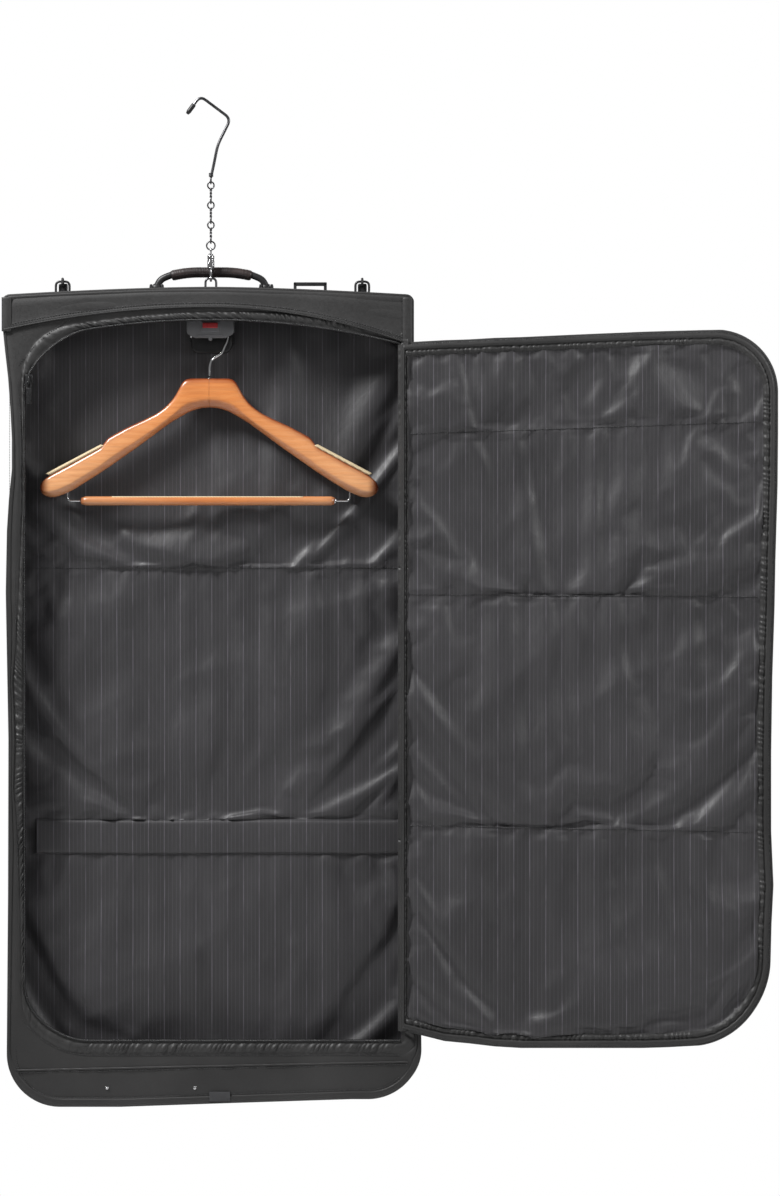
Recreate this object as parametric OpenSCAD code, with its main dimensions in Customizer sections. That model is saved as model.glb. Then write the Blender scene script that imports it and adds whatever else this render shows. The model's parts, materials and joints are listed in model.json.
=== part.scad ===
// Three-fold garment bag, hanging open from its chain and hook.
// Millimetres. +Z is up, the bag's front faces -Y, and the lid opens to +X.
// The origin is the inner top of the steel eye that the bag hangs from.

/* [Bag] */
// Width of the bag
bag_width = 540; // [520:10:580]
// Depth of the bag from front to back
bag_depth = 62; // [60:1:70]
// Drop from the eye to the top edge of the bag
header_drop = 16; // [16:1:18]
// Drop from the eye to the bag's bottom edge
bottom_drop = 1078; // [1070:1:1100]
// Radius of the bag's bottom corners
bottom_radius = 60; // [40:5:70]
// Thickness of the outer fabric walls with their stiffener
wall = 2.5; // [2:0.5:3]

/* [Folds] */
// Drop from the eye to the upper fold line
upper_fold_drop = 378; // [370:1:385]
// Distance between the two fold lines
fold_spacing = 354; // [345:1:360]
// Gap between the sections at each fold line
fold_gap = 2; // [1:0.5:4]
// Height of the stiffened band over the lower fold line
band_height = 46; // [36:2:60]

/* [Opening and lid] */
// Left edge of the front opening
opening_left = -239; // [-245:1:-235]
// Top edge of the front opening
opening_top = -68; // [-72:1:-64]
// Bottom edge of the front opening
opening_bottom = -1000; // [-1010:1:-990]
// X of the line on which the lid is sewn to the bag
lid_hinge_x = 250; // [246:1:254]
// Clearance between the lid and the opening's edge
lid_gap = 3.5; // [3:0.5:6]
// Thickness of the padded lid
lid_thickness = 12; // [8:1:12]
// Radius of the opening's free corners
opening_radius = 84; // [60:2:90]
// Width of the zip coil around the opening
zip_width = 5; // [4:0.5:6]

/* [Carry handle] */
// Distance from the bag's centre line to each handle foot
handle_foot_x = 72; // [68:1:80]
// Height of the grip's centre above its hinge pins
handle_rise = 20; // [18:1:24]
// Radius of the padded grip
grip_radius = 5.8; // [5:0.2:6]

/* [Hook and chain] */
// Radius of the chain wire
chain_wire = 1; // [0.8:0.1:1.1]
// Distance from one chain link to the next
link_pitch = 26; // [24:1:30]
// Radius of the loops at both ends of a link, to the wire's centre
link_loop = 4.5; // [4.3:0.1:5]
// Radius of the round ring under the chain, to the wire's centre
ring_radius = 5.5; // [5.2:0.1:6]
// Radius of the hook wire
hook_wire_radius = 1.9; // [1.6:0.1:2.2]

/* [Hanger] */
// X of the hanger's centre line
hanger_x = -2; // [-4:1:0]
// Y of the hanger's centre plane
hanger_y = 2; // [1:1:3]
// Thickness of the wooden arms
arm_thickness = 20; // [16:1:20]
// Radius of the hanger hook's crown, to the wire's centre
crown_radius = 24; // [23:0.5:26]
// Radius of the hanger hook's wire
hanger_wire = 1.75; // [1.5:0.05:1.9]
// Thickness of the wooden trouser bar
bar_thickness = 12; // [10:1:14]

/* [Shoulder strap] */
// Distance from the centre line to each strap ring
strap_ring_x = 198; // [190:1:205]
// Width of the webbing
webbing_width = 38; // [30:2:40]
// Depth of the hanging loop of webbing below the eye
strap_drop = 345; // [300:5:360]

/* [Hidden] */

// Bag walls
half_width = bag_width / 2;
front_y = -bag_depth / 2;
back_y = bag_depth / 2;
top_z = -header_drop;
top_radius = 8;
lining_inset = 6;
lining_y = back_y - wall - 1;
lining_thickness = 1.5;
band_y = lining_y - lining_thickness - 0.2;
band_thickness = 3;
band_left = -232;
fold_z = [-upper_fold_drop, -upper_fold_drop - fold_spacing];

// Frame bar and eye
bar_top = top_z - wall - 1.5;
bar_half = 255;
eye_leg_x = 7;
eye_wire = 1.5;

// Handle
handle_y = 14;
pin_z = top_z + 6.5;
pin_radius = 2;
pin_clearance = 0.05;
core_radius = 3.5;

// Snap, ring and chain: each joint height is where two wires meet
snap_depth = 5;
snap_wire = 1.5;
barrel_low = 14;
barrel_high = 32;
bolt_radius = 1.25;
bolt_y = -snap_depth;
wire_step = chain_wire + 0.15;
ring_joint = 40;
chain_joint = ring_joint + 2 * (ring_radius - wire_step);
hook_joint = chain_joint + 3 * link_pitch;

// Clamp
rod_radius = 4;
crown_z = -74;
rod_z = crown_z + crown_radius - hanger_wire - rod_radius - 0.25;
cover_half = 31;
cover_low = -78;
cover_pin_y = -6;
cover_pin_z = -44;
cover_face_y = -16;
plate_y = 20;

// Hanger, in its own plane: x from its centre line, z from the eye
arm_top = -131;
shank_radius = 2;
bar_z = -290;
bar_left = -168;
bar_right = 165;
catch_x = 186;
pivot_x = 184;
pivot_z = -283;

// Zip slider
slider_x = opening_left + 5;
slider_z = -134;
coil_depth = 1.8;

// Strap
ring_wire = 1.5;
strap_ring_y = back_y + 5.5;
strap_ring_z = -8;
strap_ring_radius = 9;
webbing_y = back_y + 10;
webbing_thickness = 3;
strap_right_x = 129;
snap_low = -34;

// Paths and outlines
function unit(v) = v / norm(v);
function bend(a, b, c, cut, n) =
    let (p = b + cut * unit(a - b), q = b + cut * unit(c - b))
    [for (i = [0:n]) let (t = i / n) (1 - t) * (1 - t) * p + 2 * t * (1 - t) * b + t * t * q];
function rounded_path(pts, cut, n = 5) = concat(
    [pts[0]],
    [for (i = [1:len(pts) - 2]) each bend(pts[i - 1], pts[i], pts[i + 1], cut, n)],
    [pts[len(pts) - 1]]);
function in_xz(pts, y) = [for (p = pts) [p.x, y, p.y]];
function arc(c, r, a0, a1, n = 8) =
    [for (i = [0:n]) let (a = a0 + (a1 - a0) * i / n) c + r * [cos(a), sin(a)]];
function round_box(lo, hi, r) = concat(
    arc([lo.x + r[0], lo.y + r[0]], r[0], 180, 270),
    arc([hi.x - r[1], lo.y + r[1]], r[1], 270, 360),
    arc([hi.x - r[2], hi.y - r[2]], r[2], 0, 90),
    arc([lo.x + r[3], hi.y - r[3]], r[3], 90, 180));
function along(path, i) = unit(path[min(i + 1, len(path) - 1)] - path[max(i - 1, 0)]);

// A round wire along a path that lies in the plane square to normal
module wire(path, radius, normal = [0, 1, 0], sides = 8) {
    last = len(path) - 1;
    points = [for (i = [0:last])
        let (side = cross(along(path, i), normal))
        for (k = [0:sides - 1])
            path[i] + radius * (cos(360 * k / sides) * side + sin(360 * k / sides) * normal)];
    walls = [for (i = [0:last - 1], k = [0:sides - 1])
        let (a = i * sides + k, b = i * sides + (k + 1) % sides)
        each [[a, b, b + sides], [a, b + sides, a + sides]]];
    start_cap = [for (k = [sides - 1:-1:0]) k];
    end_cap = [for (k = [0:sides - 1]) last * sides + k];
    polyhedron(points, concat([start_cap], walls, [end_cap]), convexity = 8);
}

// A flat piece between two depths, drawn as an outline in X and Z
module plate(y_low, y_high)
    translate([0, y_high, 0]) rotate([90, 0, 0]) linear_extrude(y_high - y_low) children();

module block(lo, hi) translate(lo) cube(hi - lo);
module rod_x(x_low, x_high, y, z, r)
    translate([x_low, y, z]) rotate([0, 90, 0]) cylinder(x_high - x_low, r = r, $fn = 32);
module rod_y(y_low, y_high, x, z, r)
    translate([x, y_high, z]) rotate([90, 0, 0]) cylinder(y_high - y_low, r = r, $fn = 32);
module both_sides() {
    children();
    mirror([1, 0, 0]) children();
}
module torus(radius, wire_radius)
    rotate_extrude($fn = 48) translate([radius, 0]) circle(wire_radius, $fn = 24);
module loop_xz(z, radius, r) translate([0, 0, z]) rotate([90, 0, 0]) torus(radius, r);
module loop_yz(z, radius, r) translate([0, 0, z]) rotate([0, 90, 0]) torus(radius, r);

// Outlines of the bag, cut into its three sections: 0 upper, 1 middle, 2 lower
module bag_outline(inset = 0)
    polygon(round_box(
        [-half_width + inset, -bottom_drop + inset], [half_width - inset, top_z - inset],
        [bottom_radius - inset, bottom_radius - inset, top_radius - inset / 2, top_radius - inset / 2]));
module opening_outline(grow = 0)
    polygon(round_box(
        [opening_left - grow, opening_bottom - grow], [lid_hinge_x, opening_top + grow],
        [opening_radius + grow, 1, 1, opening_radius + grow]));
module lid_outline()
    polygon(round_box(
        [lid_hinge_x + 0.5, opening_bottom + lid_gap],
        [2 * lid_hinge_x - opening_left - lid_gap, opening_top - lid_gap],
        [1, opening_radius - lid_gap, opening_radius - lid_gap, 1]));
module section(i) {
    low = i == 2 ? -bottom_drop - 10 : fold_z[i] + fold_gap / 2;
    high = i == 0 ? 0 : fold_z[i - 1] - fold_gap / 2;
    intersection() {
        children();
        translate([-half_width - 10, low]) square([3 * bag_width, high - low]);
    }
}

module back_panel(i) color("#26262a") plate(back_y - wall, back_y) section(i) bag_outline();
module gusset(i)
    color("#2b2b30")
        plate(front_y + wall, back_y - wall) section(i) difference() {
            bag_outline();
            bag_outline(wall);
            if (i == 0) translate([-half_width, top_z - wall]) square([bag_width, wall]);
        }
module front_rim(i)
    color("#303035")
        plate(front_y, front_y + wall) section(i) difference() {
            bag_outline();
            opening_outline();
        }
module lining(i)
    color("#4a494d") plate(lining_y - lining_thickness, lining_y) section(i) bag_outline(lining_inset);
module zip_coil(i)
    color("#151517")
        plate(front_y - coil_depth, front_y) section(i) difference() {
            opening_outline(zip_width);
            opening_outline();
            translate([lid_hinge_x - 2, -bottom_drop]) square([10, bottom_drop]);
        }
module lid_panel(i)
    color("#28282c")
        plate(front_y - 0.5 - lid_thickness + lining_thickness, front_y - 0.5) section(i) lid_outline();
module lid_lining(i)
    color("#4a494d")
        plate(front_y - 0.5 - lid_thickness, front_y - 0.5 - lid_thickness + lining_thickness)
            section(i) lid_outline();

// A steel bar inside the top of the bag, which the eye and the clamp are fixed to
module frame_bar() color("#7a7d80") block([-bar_half, -10, bar_top - 3], [bar_half, 10, bar_top]);

module hang_bail()
    color("#8d9093")
        wire(in_xz(rounded_path([
            [-eye_leg_x, bar_top], [-eye_leg_x, eye_wire], [eye_leg_x, eye_wire], [eye_leg_x, bar_top]
        ], 6), 0), eye_wire);

module header_top()
    color("#2b2b30") difference() {
        block([-half_width, front_y + wall, top_z - wall], [half_width, back_y - wall, top_z]);
        for (x = [-eye_leg_x, eye_leg_x])
            translate([x, 0, top_z - wall - 1]) cylinder(wall + 2, r = eye_wire + 0.3, $fn = 24);
        for (x = [-1, 1])
            translate([x * half_width, 0, top_z]) rotate([90, 0, 0])
                cylinder(bag_depth, r = 0.6 * top_radius, center = true, $fn = 4);
    }

// Two sewn and riveted feet with the handle's hinge pins
module handle_tabs() {
    ear = 3.5;
    foot_half = 9;
    color("#1b1b1e") both_sides() translate([handle_foot_x, 0, 0]) {
        block([-foot_half - 1, handle_y - 8, top_z], [foot_half + 1, handle_y + 8, top_z + 1.5]);
        for (x = [-foot_half, foot_half - ear])
            block([x, handle_y - 4, top_z + 1], [x + ear, handle_y + 4, pin_z + 3.5]);
        rod_x(-foot_half, foot_half, handle_y, pin_z, pin_radius);
    }
}

function handle_path() =
    let (x = handle_foot_x, top = pin_z + handle_rise)
    in_xz(rounded_path([
        [-x, pin_z + 3], [-x + 4, top - 10], [-x + 18, top - 5], [-28, top],
        [28, top], [x - 18, top - 5], [x - 4, top - 10], [x, pin_z + 3]
    ], 5), handle_y);

module handle_strap()
    color("#1d1a1a") difference() {
        union() {
            wire(handle_path(), core_radius);
            both_sides() rod_x(handle_foot_x - 4.7, handle_foot_x + 4.7, handle_y, pin_z, 4.3);
        }
        rod_x(-100, 100, handle_y, pin_z, pin_radius + pin_clearance);
    }

module handle_grip()
    color("#2a2222") difference() {
        intersection() {
            wire(handle_path(), grip_radius, sides = 12);
            block([-52, 0, 0], [52, 40, 40]);
        }
        wire(handle_path(), core_radius + 0.1);
    }

// Spring snap in the eye: a wire bow, a barrel and a sliding bolt that closes the bow
module snap_body() {
    bow_low = -snap_wire - 0.15;
    color("#a8abae") difference() {
        union() {
            translate([0, 0, barrel_low]) cylinder(barrel_high - barrel_low, r = 4.6, $fn = 40);
            block([-4, bolt_y - 3, barrel_low], [4, 1, barrel_low + 9]);
            block([-4, 0, barrel_low], [4, snap_depth + 2, barrel_low + 5]);
            wire([for (p = rounded_path([
                [snap_depth, barrel_low + 2], [snap_depth, bow_low], [bolt_y, bow_low], [bolt_y, 2.5]
            ], 4)) [0, p.x, p.y]], snap_wire, normal = [1, 0, 0]);
        }
        translate([0, bolt_y, barrel_low - 1])
            cylinder(7.5 + 1.5, r = bolt_radius + pin_clearance, $fn = 24);
        translate([0, 0, barrel_high - 4.5]) cylinder(6, r = 2 + pin_clearance, $fn = 32);
        translate([0, 0, barrel_high - 8.5]) cylinder(4.1, r = 3 + 0.1, $fn = 32);
        block([-1.2, bolt_y - 4, barrel_low - 1], [1.2, bolt_y, barrel_low + 8]);
    }
}

module snap_trigger()
    color("#c0c2c4") {
        translate([0, bolt_y, 2.8]) cylinder(barrel_low - 1.2, r = bolt_radius, $fn = 24);
        block([-1, bolt_y - 5.5, barrel_low - 1], [1, bolt_y, barrel_low + 1.5]);
    }

module snap_eye() {
    eye_radius = 3.2;
    eye_centre = ring_joint + wire_step - eye_radius;
    color("#a8abae") {
        loop_yz(eye_centre, eye_radius, chain_wire);
        translate([0, 0, barrel_high + 0.2])
            cylinder(eye_centre - eye_radius - barrel_high + 0.3, r = 3, $fn = 32);
        translate([0, 0, barrel_high - 6]) cylinder(7, r = 2, $fn = 32);
        translate([0, 0, barrel_high - 8.3]) cylinder(3.6, r = 3, $fn = 32);
    }
}

module ring() color("#6c6f72") loop_xz(ring_joint - wire_step + ring_radius, ring_radius, chain_wire);

// A twisted wire link: its upper loop faces front, its lower loop faces sideways
module chain_link(low_joint) {
    low = low_joint - wire_step + link_loop;
    high = low_joint + link_pitch + wire_step - link_loop;
    color("#5a5d60") {
        loop_yz(low, link_loop, chain_wire);
        loop_xz(high, link_loop, chain_wire);
        translate([0, 0, low + link_loop - 0.4])
            cylinder(high - low - 2 * link_loop + 0.8, r = 1.7, $fn = 24);
    }
}

function hook_path() =
    let (base = hook_joint - wire_step + 2 * link_loop)
    in_xz(rounded_path([
        [0, base - 0.3], [3, base + 12], [9, base + 42], [26, base + 76], [-14, base + 106],
        [-30, base + 84]
    ], 7), 0);

module hook_wire()
    color("#3c3f42") {
        loop_yz(hook_joint - wire_step + link_loop, link_loop, chain_wire);
        wire(hook_path(), hook_wire_radius, sides = 10);
    }

module hook_sleeve() {
    tip = hook_path()[len(hook_path()) - 1];
    up = unit(hook_path()[len(hook_path()) - 2] - tip);
    color("#141416") difference() {
        wire([tip - 2 * up, tip + 6 * up, tip + 14 * up], hook_wire_radius + 1.2, sides = 12);
        wire([tip - 0.2 * up, tip + 6 * up, tip + 16 * up], hook_wire_radius + 0.1, sides = 12);
    }
}

// Hanger clamp: a bent plate under the frame bar, a rod for the hook and a hinged cover
module clamp_backplate()
    color("#3a3b3e") {
        block([-29, -8, bar_top - 5], [29, plate_y + 2, bar_top - 3]);
        block([-29, plate_y, -95], [29, plate_y + 2, bar_top - 4]);
        both_sides() block([23, cover_pin_y - 3, cover_pin_z - 3], [26, cover_pin_y + 3, bar_top - 4]);
        rod_x(-26, 26, cover_pin_y, cover_pin_z, 1.5);
    }

module clamp_rod() color("#9a9da0") rod_y(-9, plate_y, hanger_x, rod_z, rod_radius);

module clamp_cover()
    color("#6f7073") difference() {
        union() {
            plate(cover_face_y, cover_face_y + 3)
                polygon(round_box([-cover_half, cover_low], [cover_half, cover_pin_z - 2], [8, 8, 1, 1]));
            both_sides() block([cover_half - 3, cover_face_y + 1, cover_low + 8],
                [cover_half, -1.5, cover_pin_z - 3.5]);
            block([-22.6, cover_face_y, cover_pin_z - 3], [22.6, cover_pin_y, cover_pin_z + 3.5]);
            rod_x(-22.6, 22.6, cover_pin_y, cover_pin_z, 3.5);
        }
        rod_x(-40, 40, cover_pin_y, cover_pin_z, 1.5 + pin_clearance);
        block([-10.3, cover_face_y - 1, -68.5], [10.3, cover_face_y + 4, -57.7]);
    }

module lock_button()
    color("#b3262b") plate(cover_face_y - 1.5, cover_face_y + 2.5)
        polygon(round_box([-10, -65], [10, -58], [1.5, 1.5, 1.5, 1.5]));

// Hanger hook: the crown turns over the clamp rod and the shank turns in the wood
module hanger_hook() {
    crown = arc([0, crown_z], crown_radius, 205, -32, 22);
    tail = rounded_path([
        crown[22] + [1.2, 0.8], crown[22] + [-1.5, -6], [3, -104], [0, -113], [0, arm_top + 1]
    ], 4);
    steel_path = concat([for (i = [0:21]) crown[i]], tail);
    color("#b9bcc0") translate([hanger_x, 0, 0]) {
        wire(in_xz(steel_path, hanger_y), hanger_wire);
        translate([0, hanger_y, arm_top - 30]) cylinder(31.5, r = shank_radius, $fn = 32);
        translate([0, hanger_y, arm_top + 0.3]) cylinder(2, r = 4.5, $fn = 32);
    }
}

// One wooden arm, drawn to the right of the hanger's centre line
module arm_wood()
    difference() {
        plate(hanger_y - arm_thickness / 2, hanger_y + arm_thickness / 2) polygon([
            [0.1, arm_top], [33, arm_top], [46, -157], [68, -175], [106, -192], [133, -214.5],
            [136, -220], [213, -260], [220, -267], [215, -280], [206, -284], [185, -278],
            [141, -253], [96, -223], [50, -190], [20, -171.6], [0.1, -168]
        ]);
        translate([0, hanger_y, arm_top - 31]) cylinder(40, r = shank_radius + pin_clearance, $fn = 32);
    }

module hanger_arm_left() color("#b5561f") translate([hanger_x, 0, 0]) mirror([1, 0, 0]) arm_wood();
module hanger_arm_right() color("#b5561f") translate([hanger_x, 0, 0]) arm_wood();

module hanger_inlays()
    color("#cdb98a") translate([hanger_x, 0, 0]) both_sides()
        plate(hanger_y - 7, hanger_y + 7)
            polygon([[137, -215.5], [213, -255.5], [213, -259.9], [137, -220.4]]);

module hanger_catch()
    color("#b9bcc0") translate([hanger_x, 0, 0])
        wire(in_xz(rounded_path([
            [-catch_x, -279.5], [-catch_x, bar_z], [bar_left - 3.5, bar_z]
        ], 5), hanger_y), 1.5);

module trouser_bar()
    color("#a24c1c") translate([hanger_x + bar_left, hanger_y, bar_z]) rotate([0, 90, 0])
        linear_extrude(bar_right - bar_left)
            polygon(round_box(
                [-bar_thickness / 2, -bar_thickness / 2], [bar_thickness / 2, bar_thickness / 2],
                [3, 3, 3, 3]));

module trouser_bar_wire()
    color("#b9bcc0") translate([hanger_x, 0, 0]) {
        wire(in_xz(rounded_path([
            [pivot_x, pivot_z], [pivot_x, bar_z], [bar_right, bar_z]
        ], 4), hanger_y), 1.5);
        rod_y(hanger_y - 3, hanger_y + 3, pivot_x, pivot_z, 2.5);
    }

module zip_slider()
    color("#202022") translate([slider_x, front_y - coil_depth - 0.3, slider_z]) difference() {
        union() {
            block([-5, -3, -7], [5, 0, 7]);
            block([-1.5, -7, -5], [1.5, -2, 4]);
        }
        rod_x(-3, 3, -5, -2.5, 1.3);
    }

module zip_pull() {
    y = front_y - coil_depth - 5.3;
    pin_height = slider_z - 2.5;
    color("#18181a") {
        rod_x(slider_x - 3.4, slider_x + 3.4, y, pin_height, 1);
        translate([slider_x, 0, 0]) both_sides()
            block([1.9, y - 0.9, pin_height - 8], [3.4, y + 0.9, pin_height]);
        plate(y - 0.9, y + 0.9) polygon(round_box(
            [slider_x - 3.4, pin_height - 29], [slider_x + 3.4, pin_height - 7], [2, 2, 0.5, 0.5]));
    }
}

module fold_band_top()
    color("#3f3e42") block([band_left, band_y - band_thickness, fold_z[1] + fold_gap / 2],
        [lid_hinge_x, band_y, fold_z[1] + band_height / 2]);
module fold_band_bottom()
    color("#3f3e42") block([band_left, band_y - band_thickness, fold_z[1] - band_height / 2],
        [lid_hinge_x, band_y, fold_z[1] - fold_gap / 2]);

module bottom_label() color("#3b3a3f") block([0, front_y - 0.8, -1075], [27, front_y, -1061]);
module bottom_snaps()
    color("#55565a") for (x = [-133, -19]) rod_y(front_y - 1.8, front_y, x, -1054, 4);

// Shoulder strap: rings on the back of the header, snaps, webbing and its adjuster
module d_rings()
    color("#2f3032") both_sides()
        translate([strap_ring_x, strap_ring_y, strap_ring_z]) rotate([90, 0, 0])
            torus(strap_ring_radius, ring_wire);

module strap_tabs()
    color("#1e1e21") difference() {
        both_sides() block([strap_ring_x - 9, back_y, -45], [strap_ring_x + 9, back_y + 8, -13.5]);
        both_sides() translate([strap_ring_x, strap_ring_y, strap_ring_z]) rotate([90, 0, 0])
            torus(strap_ring_radius, ring_wire + 0.1);
    }

module strap_snaps() {
    bow_y = strap_ring_y + 0.8;
    bow_z = strap_ring_z + strap_ring_radius - 0.6;
    color("#232325") both_sides() translate([strap_ring_x, 0, 0]) {
        translate([0, bow_y, bow_z]) rotate([0, 90, 0]) torus(4.4, 1.4);
        block([-6, webbing_y - 0.4, snap_low], [6, webbing_y + 5, bow_z]);
    }
}

module strap_webbing() {
    half = webbing_width / 2;
    x = [-strap_ring_x - half, -strap_ring_x + half, strap_right_x - half, strap_right_x + half,
        strap_ring_x + half];
    z = [-strap_drop, -strap_drop + webbing_width, snap_low - webbing_width, snap_low];
    color("#202024") plate(webbing_y, webbing_y + webbing_thickness) polygon([
        [x[0], z[0]], [x[3], z[0]], [x[3], z[2]], [x[4], z[2]], [x[4], z[3]], [x[2], z[3]],
        [x[2], z[1]], [x[1], z[1]], [x[1], z[3]], [x[0], z[3]]
    ]);
}

module strap_adjuster() {
    low = [strap_right_x - 22, -52];
    high = [strap_right_x + 22, -7];
    color("#161618") plate(webbing_y + webbing_thickness + 0.2, webbing_y + webbing_thickness + 3)
        difference() {
            polygon(round_box(low, high, [4, 4, 4, 4]));
            for (z = [-46, -25]) translate([low.x + 4, z]) square([high.x - low.x - 8, 12]);
        }
}

frame_bar();
hang_bail();
header_top();
back_panel(0);  // back_panel_upper
gusset(0);  // side_gussets_upper
front_rim(0);  // front_rim_upper
lining(0);  // lining_upper
zip_coil(0);  // zip_coil_upper
handle_tabs();
clamp_backplate();
clamp_rod();
strap_tabs();
d_rings();
back_panel(1);  // back_panel_middle
gusset(1);  // side_gussets_middle
front_rim(1);  // front_rim_middle
lining(1);  // lining_middle
zip_coil(1);  // zip_coil_middle
fold_band_top();
back_panel(2);  // back_panel_lower
gusset(2);  // gusset_lower
front_rim(2);  // front_rim_lower
lining(2);  // lining_lower
zip_coil(2);  // zip_coil_lower
fold_band_bottom();
bottom_label();
bottom_snaps();
lid_panel(0);  // lid_panel_upper
lid_lining(0);  // lid_lining_upper
lid_panel(1);  // lid_panel_middle
lid_lining(1);  // lid_lining_middle
lid_panel(2);  // lid_panel_lower
lid_lining(2);  // lid_lining_lower
handle_strap();
handle_grip();
snap_body();
snap_trigger();
snap_eye();
ring();
chain_link(chain_joint);  // link_3
chain_link(chain_joint + link_pitch);  // link_2
chain_link(chain_joint + 2 * link_pitch);  // link_1
hook_wire();
hook_sleeve();
clamp_cover();
lock_button();
hanger_hook();
hanger_arm_left();
hanger_arm_right();
hanger_inlays();
hanger_catch();
trouser_bar();
trouser_bar_wire();
zip_slider();
zip_pull();
strap_webbing();
strap_adjuster();
strap_snaps();
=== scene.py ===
import json
from math import cos, pi, radians, sin

import bmesh
import bpy
import numpy as np
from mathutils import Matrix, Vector, noise


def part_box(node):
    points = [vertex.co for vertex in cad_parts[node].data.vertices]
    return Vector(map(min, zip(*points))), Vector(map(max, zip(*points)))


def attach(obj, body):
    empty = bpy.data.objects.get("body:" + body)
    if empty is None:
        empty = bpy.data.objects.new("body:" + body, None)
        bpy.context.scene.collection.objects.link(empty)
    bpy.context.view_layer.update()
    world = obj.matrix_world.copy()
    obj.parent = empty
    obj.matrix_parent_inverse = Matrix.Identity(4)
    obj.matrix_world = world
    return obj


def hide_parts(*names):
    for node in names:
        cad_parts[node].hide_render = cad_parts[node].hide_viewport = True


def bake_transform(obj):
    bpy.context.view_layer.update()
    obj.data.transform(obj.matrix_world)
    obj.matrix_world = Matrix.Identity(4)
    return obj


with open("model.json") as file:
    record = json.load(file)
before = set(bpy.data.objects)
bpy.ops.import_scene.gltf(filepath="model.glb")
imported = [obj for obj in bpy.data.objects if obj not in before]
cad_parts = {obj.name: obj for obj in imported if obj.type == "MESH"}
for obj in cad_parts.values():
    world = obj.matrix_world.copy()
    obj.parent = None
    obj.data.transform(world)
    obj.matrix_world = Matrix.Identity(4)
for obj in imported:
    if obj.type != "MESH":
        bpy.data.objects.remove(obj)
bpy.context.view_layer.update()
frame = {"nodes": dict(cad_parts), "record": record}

MM = 0.001
X, Y, Z = (1, 0, 0), (0, 1, 0), (0, 0, 1)

# ---------------------------------------------------------------- places read from the frame


def low(node):
    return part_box(node)[0]


def high(node):
    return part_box(node)[1]


def centre(node):
    return (low(node) + high(node)) / 2


def joint(name):
    return next(j for j in frame["record"]["behaviour"]["joints"] if j["name"] == name)


def pivot(name):
    return Vector(joint(name)["pos_m"])


def mm(x, y, z):
    return Vector((x, y, z)) * MM


LEFT, RIGHT = low("back_panel_upper").x, high("back_panel_upper").x
TOP, BOTTOM = high("back_panel_upper").z, low("back_panel_lower").z
FRONT, BACK = low("front_rim_upper").y, high("back_panel_upper").y
FOLD_1, FOLD_2 = pivot("upper_fold").z, pivot("lower_fold").z
MIDDLE = (FOLD_1 + FOLD_2) / 2
OPEN_LEFT = high("zip_coil_middle").x
COIL = high("zip_coil_middle").x - low("zip_coil_middle").x
OPEN_TOP, OPEN_BOTTOM = high("zip_coil_upper").z - COIL, low("zip_coil_lower").z + COIL
HINGE = pivot("lid_hinge").x
LINING_Y = low("lining_upper").y - 4 * MM
BAND = (high("fold_band_top").z, low("fold_band_bottom").z)
LID_RIGHT = high("lid_panel_upper").x
LID_TOP, LID_BOTTOM = high("lid_panel_upper").z, low("lid_panel_lower").z
LID_FRONT, LID_BACK = low("lid_lining_upper").y, high("lid_panel_upper").y
CORNER = 68 * MM
OPEN_CORNER = 84 * MM
LID_CORNER = 104 * MM

# ---------------------------------------------------------------- materials


class Look:
    """One material: a Principled shader and the nodes that feed it."""

    def __init__(self, name, **sockets):
        self.material = bpy.data.materials.new(name)
        self.material.use_nodes = True
        self.tree = self.material.node_tree
        self.shader = self.tree.nodes["Principled BSDF"]
        for socket, value in sockets.items():
            self.shader.inputs[socket.replace("_", " ")].default_value = value
        self.place = self.add("ShaderNodeTexCoord").outputs["Object"]

    def add(self, kind, **settings):
        node = self.tree.nodes.new(kind)
        for key, value in settings.items():
            setattr(node, key, value)
        return node

    def link(self, a, b):
        self.tree.links.new(a, b)
        return b

    def scaled(self, scale):
        node = self.add("ShaderNodeMapping")
        self.link(self.place, node.inputs["Vector"])
        node.inputs["Scale"].default_value = scale
        return node.outputs["Vector"]

    def noise(self, scale, detail=4, stretch=(1, 1, 1), distortion=0):
        node = self.add("ShaderNodeTexNoise")
        self.link(self.scaled(stretch), node.inputs["Vector"])
        node.inputs["Scale"].default_value = scale
        node.inputs["Detail"].default_value = detail
        node.inputs["Distortion"].default_value = distortion
        return node.outputs["Fac"]

    def ranged(self, value, lo, hi, to_lo, to_hi):
        node = self.add("ShaderNodeMapRange")
        self.link(value, node.inputs["Value"])
        for socket, number in zip(("From Min", "From Max", "To Min", "To Max"), (lo, hi, to_lo, to_hi)):
            node.inputs[socket].default_value = number
        return node.outputs["Result"]

    def math(self, operation, a, b=None):
        node = self.add("ShaderNodeMath", operation=operation)
        for socket, value in zip(node.inputs, (a, b)):
            if value is None:
                continue
            if isinstance(value, (int, float)):
                socket.default_value = value
            else:
                self.link(value, socket)
        return node.outputs[0]

    def mix(self, factor, a, b):
        node = self.add("ShaderNodeMix", data_type="RGBA")
        self.link(factor, node.inputs[0])
        for socket, value in ((node.inputs[6], a), (node.inputs[7], b)):
            if isinstance(value, tuple):
                socket.default_value = (*value, 1)
            else:
                self.link(value, socket)
        return node.outputs[2]

    def colour(self, value):
        self.link(value, self.shader.inputs["Base Color"])

    def rough(self, value):
        self.link(value, self.shader.inputs["Roughness"])

    def bump(self, height, strength, distance):
        node = self.add("ShaderNodeBump")
        node.inputs["Strength"].default_value = strength
        node.inputs["Distance"].default_value = distance
        self.link(height, node.inputs["Height"])
        previous = self.shader.inputs["Normal"].links
        if previous:
            self.link(previous[0].from_socket, node.inputs["Normal"])
        self.link(node.outputs["Normal"], self.shader.inputs["Normal"])


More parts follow.
